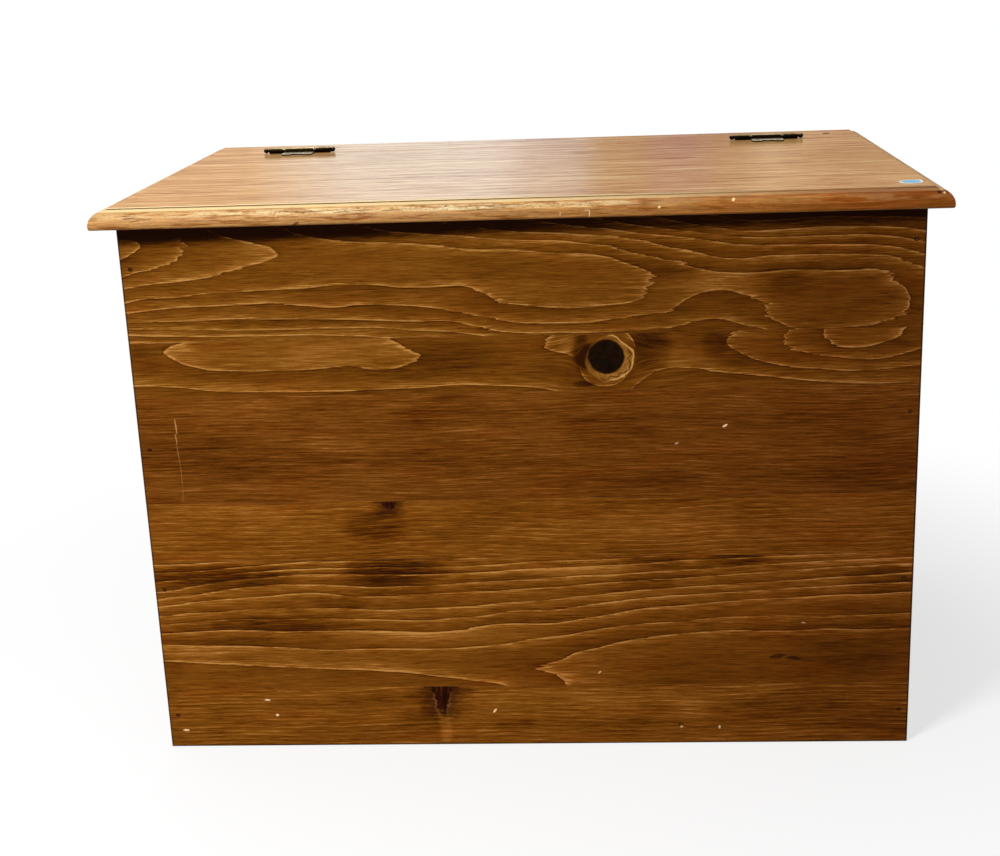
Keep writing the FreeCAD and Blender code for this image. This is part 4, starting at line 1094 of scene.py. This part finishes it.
# Each hinge pin ends in a ball on a short neck, with a collar against the barrel and a button on the ball.
# Half a pin is drawn as (distance from the pin's middle, radius).
BALL_AT, BALL_RADIUS, PIN_END = 40.0, 2.95, 43.05
half_pin = [(36.25, 1.55), (36.3, 2.3), (36.45, 2.5), (36.7, 2.5), (36.85, 2.3), (36.9, 1.45), (37.25, 1.4)]
half_pin += [(BALL_AT - BALL_RADIUS * math.cos(math.radians(t)), BALL_RADIUS * math.sin(math.radians(t)))
             for t in range(33, 163, 8)]
half_pin += [(42.85, 0.9), (43.0, 0.75), (PIN_END, 0.4), (PIN_END, 0)]
pin_mesh = turned("ball_tip_pin", [(-height, radius) for height, radius in reversed(half_pin)] + half_pin)
lay_down = Matrix.Rotation(math.radians(90), 4, "Y")
placed_pins = [(pin_mesh, moved(x, HINGE_AXIS, HINGE_HEIGHT) @ lay_down)
               for x in (-HINGE_MIDDLE, HINGE_MIDDLE)]
pins = mesh_piece("ball_tip_pins", joined("ball_tip_pins", placed_pins, sharp=50.0),
                  bronze("bronze_hinge_pins", 12.4))
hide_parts("hinge_pins")
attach(pins, "carcass")

STICKER_PLACE, STICKER_RADIUS = (369.0, -196.0), 11.0
STICKER_GAP = 0.03  # above the lid
CURL_FROM, CURL = 6.5, 0.035  # mm from the middle, where the sticker starts to lift, and its curve from there
sticker_profile = [(0, 0), (0, STICKER_RADIUS), (0.12, STICKER_RADIUS), (0.13, 9.0), (0.13, 6.0), (0.13, 3.0),
                   (0.13, 0)]
sticker_mesh = turned("sticker", sticker_profile, sides=56)
for vertex in sticker_mesh.vertices:
    curled = max(0.0, (vertex.co.x * 0.9 + vertex.co.y * 0.4) / MM - CURL_FROM)
    vertex.co.z += CURL * curled ** 2 * MM
sticker_mesh.transform(moved(*STICKER_PLACE, LID_TOP + STICKER_GAP))
sticker = mesh_piece("blank_sticker", sticker_mesh,
                     sticker_paper("sticker_paper", STICKER_PLACE, STICKER_RADIUS))
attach(sticker, "lid")


# ---------------------------------------------------------------- stage, lights and camera
FLOOR_REACH, FLOOR_DROP = 60.0, 0.0003  # m
CLEAR_NEAR, CLEAR_FAR = 430.0, 1000.0  # mm from the middle, where the floor's shade gives way to plain white
SHADE_KEPT = 0.3  # of the shadow, next to the chest
SEEN_BY = ("Camera", "Glossy", "Transmission")  # the rays that see the plain white background
WHITE = (1.0, 1.0, 1.0, 1.0)
# What a mirror sees behind the chest, as colours by their sideways slope from straight behind: a bright
# window, left of the middle, between darker screens.
BEHIND = stops(
    (-0.5, 222, 180, 146), (-0.24, 229, 186, 154), (-0.17, 255, 255, 252), (-0.07, 255, 255, 255),
    (-0.045, 222, 212, 212), (-0.012, 204, 192, 194), (0.006, 180, 148, 122), (0.03, 170, 134, 114),
    (0.044, 166, 126, 132), (0.066, 158, 116, 128), (0.08, 158, 120, 114), (0.095, 174, 136, 116),
    (0.12, 216, 188, 158), (0.145, 198, 160, 134), (0.17, 178, 138, 116), (0.21, 186, 146, 122),
    (0.5, 190, 150, 126))


def light_path(s, *kinds):
    """1 for rays of any of these kinds, else 0."""
    paths = s.tree.nodes.new("ShaderNodeLightPath").outputs
    total = 0.0
    for kind in kinds:
        total = Value(s.tree, paths[f"Is {kind} Ray"]) + total
    return total.clamped()


def floor():
    """A floor that shows pale paper with the chest's shadow, and plain white farther out. The light that it
    throws back on the chest is that of a darker floor."""
    plane = bmesh.new()
    bmesh.ops.create_grid(plane, x_segments=1, y_segments=1, size=FLOOR_REACH,
                          matrix=Matrix.Translation((0, 0, -FLOOR_DROP)))
    mesh = written("studio_floor", plane)
    s = Shader("studio_floor")
    x, y, _ = s.millimetres()
    away = (x * x + y * y).calc("SQRT")
    white = s.node("Emission", inputs={"Color": WHITE, "Strength": 1.0})
    paper = s.node("BsdfDiffuse", inputs={"Color": (0.95, 0.95, 0.95, 1)})
    unseen = s.node("BsdfDiffuse", inputs={"Color": (0.35, 0.35, 0.35, 1)})
    shown = s.node("MixShader", inputs={0: s.smooth(away, CLEAR_NEAR, CLEAR_FAR, 1 - SHADE_KEPT, 1.0),
                                        1: paper, 2: white})
    shown = s.node("MixShader", inputs={0: light_path(s, *SEEN_BY), 1: unseen, 2: shown})
    s.output(shown)
    mesh_piece("studio_floor", mesh, s.material)


def world(fill):
    """Plain white to look at, and an even soft fill for everything else."""
    made = bpy.data.worlds.new("studio")
    made.use_nodes = True
    s = Shader.on_tree(made.node_tree)
    x, y, z = s.apart(s.node("TexCoord", "Generated"))
    behind = s.ramp(x / y.most(0.05) + 0.5, [(slope + 0.5, colour) for slope, colour in BEHIND])
    low = s.smooth(z, 0.8, 0.4) * s.smooth(y, 0.1, 0.3) * light_path(s, "Glossy")
    strength = light_path(s, *SEEN_BY) * (1.0 - fill) + fill
    sky = s.node("Background", inputs={"Color": s.mix(low, WHITE, behind), "Strength": strength})
    s.output(sky, "World")
    bpy.context.scene.world = made


def softbox(name, place, aim, size, level):
    """A square area light. Level is about how bright it alone makes a white surface at the aim, facing it."""
    light = bpy.data.lights.new(name, "AREA")
    light.size = size
    reach = Vector(aim) - Vector(place)
    light.energy = level * math.pi ** 2 * reach.length_squared
    lamp = bpy.data.objects.new(name, light)
    lamp.location = place
    lamp.rotation_mode = "QUATERNION"
    lamp.rotation_quaternion = reach.to_track_quat("-Z", "Y")
    lamp.visible_camera = False
    bpy.context.scene.collection.objects.link(lamp)


def camera():
    """The photograph's own camera."""
    down, turn, roll = CAMERA_DOWN, CAMERA_TURN, CAMERA_ROLL
    spin = Matrix.Rotation(turn, 3, "Z")
    right = spin @ Vector((1, 0, 0))
    ahead = spin @ Vector((0, math.cos(down), -math.sin(down)))
    up = spin @ Vector((0, math.sin(down), math.cos(down)))
    across = right * math.cos(roll) + up * math.sin(roll)
    upright = up * math.cos(roll) - right * math.sin(roll)
    data = bpy.data.cameras.new("camera")
    data.sensor_width = SENSOR
    data.lens = FOCAL_PIXELS / IMAGE_WIDTH * SENSOR
    data.shift_x = (IMAGE_WIDTH / 2 - CENTRE_PIXEL[0]) / IMAGE_WIDTH
    data.shift_y = (CENTRE_PIXEL[1] - IMAGE_HEIGHT / 2) / IMAGE_WIDTH
    data.clip_start, data.clip_end = 0.05, 200.0
    shot = bpy.data.objects.new("camera", data)
    shot.matrix_world = Matrix((across, upright, -ahead)).transposed().to_4x4()
    shot.location = CAMERA_PLACE
    bpy.context.scene.collection.objects.link(shot)
    bpy.context.scene.camera = shot


floor()
world(fill=0.25)
softbox("key", (-1.5, -1.95, 2.1), aim=(0.0, -0.1, 0.35), size=0.7, level=1.0)
softbox("overhead", (-0.6, 0.6, 3.0), aim=(0.0, 0.0, 0.5), size=1.6, level=0.25)
camera()
bpy.context.scene.view_settings.view_transform = "Standard"
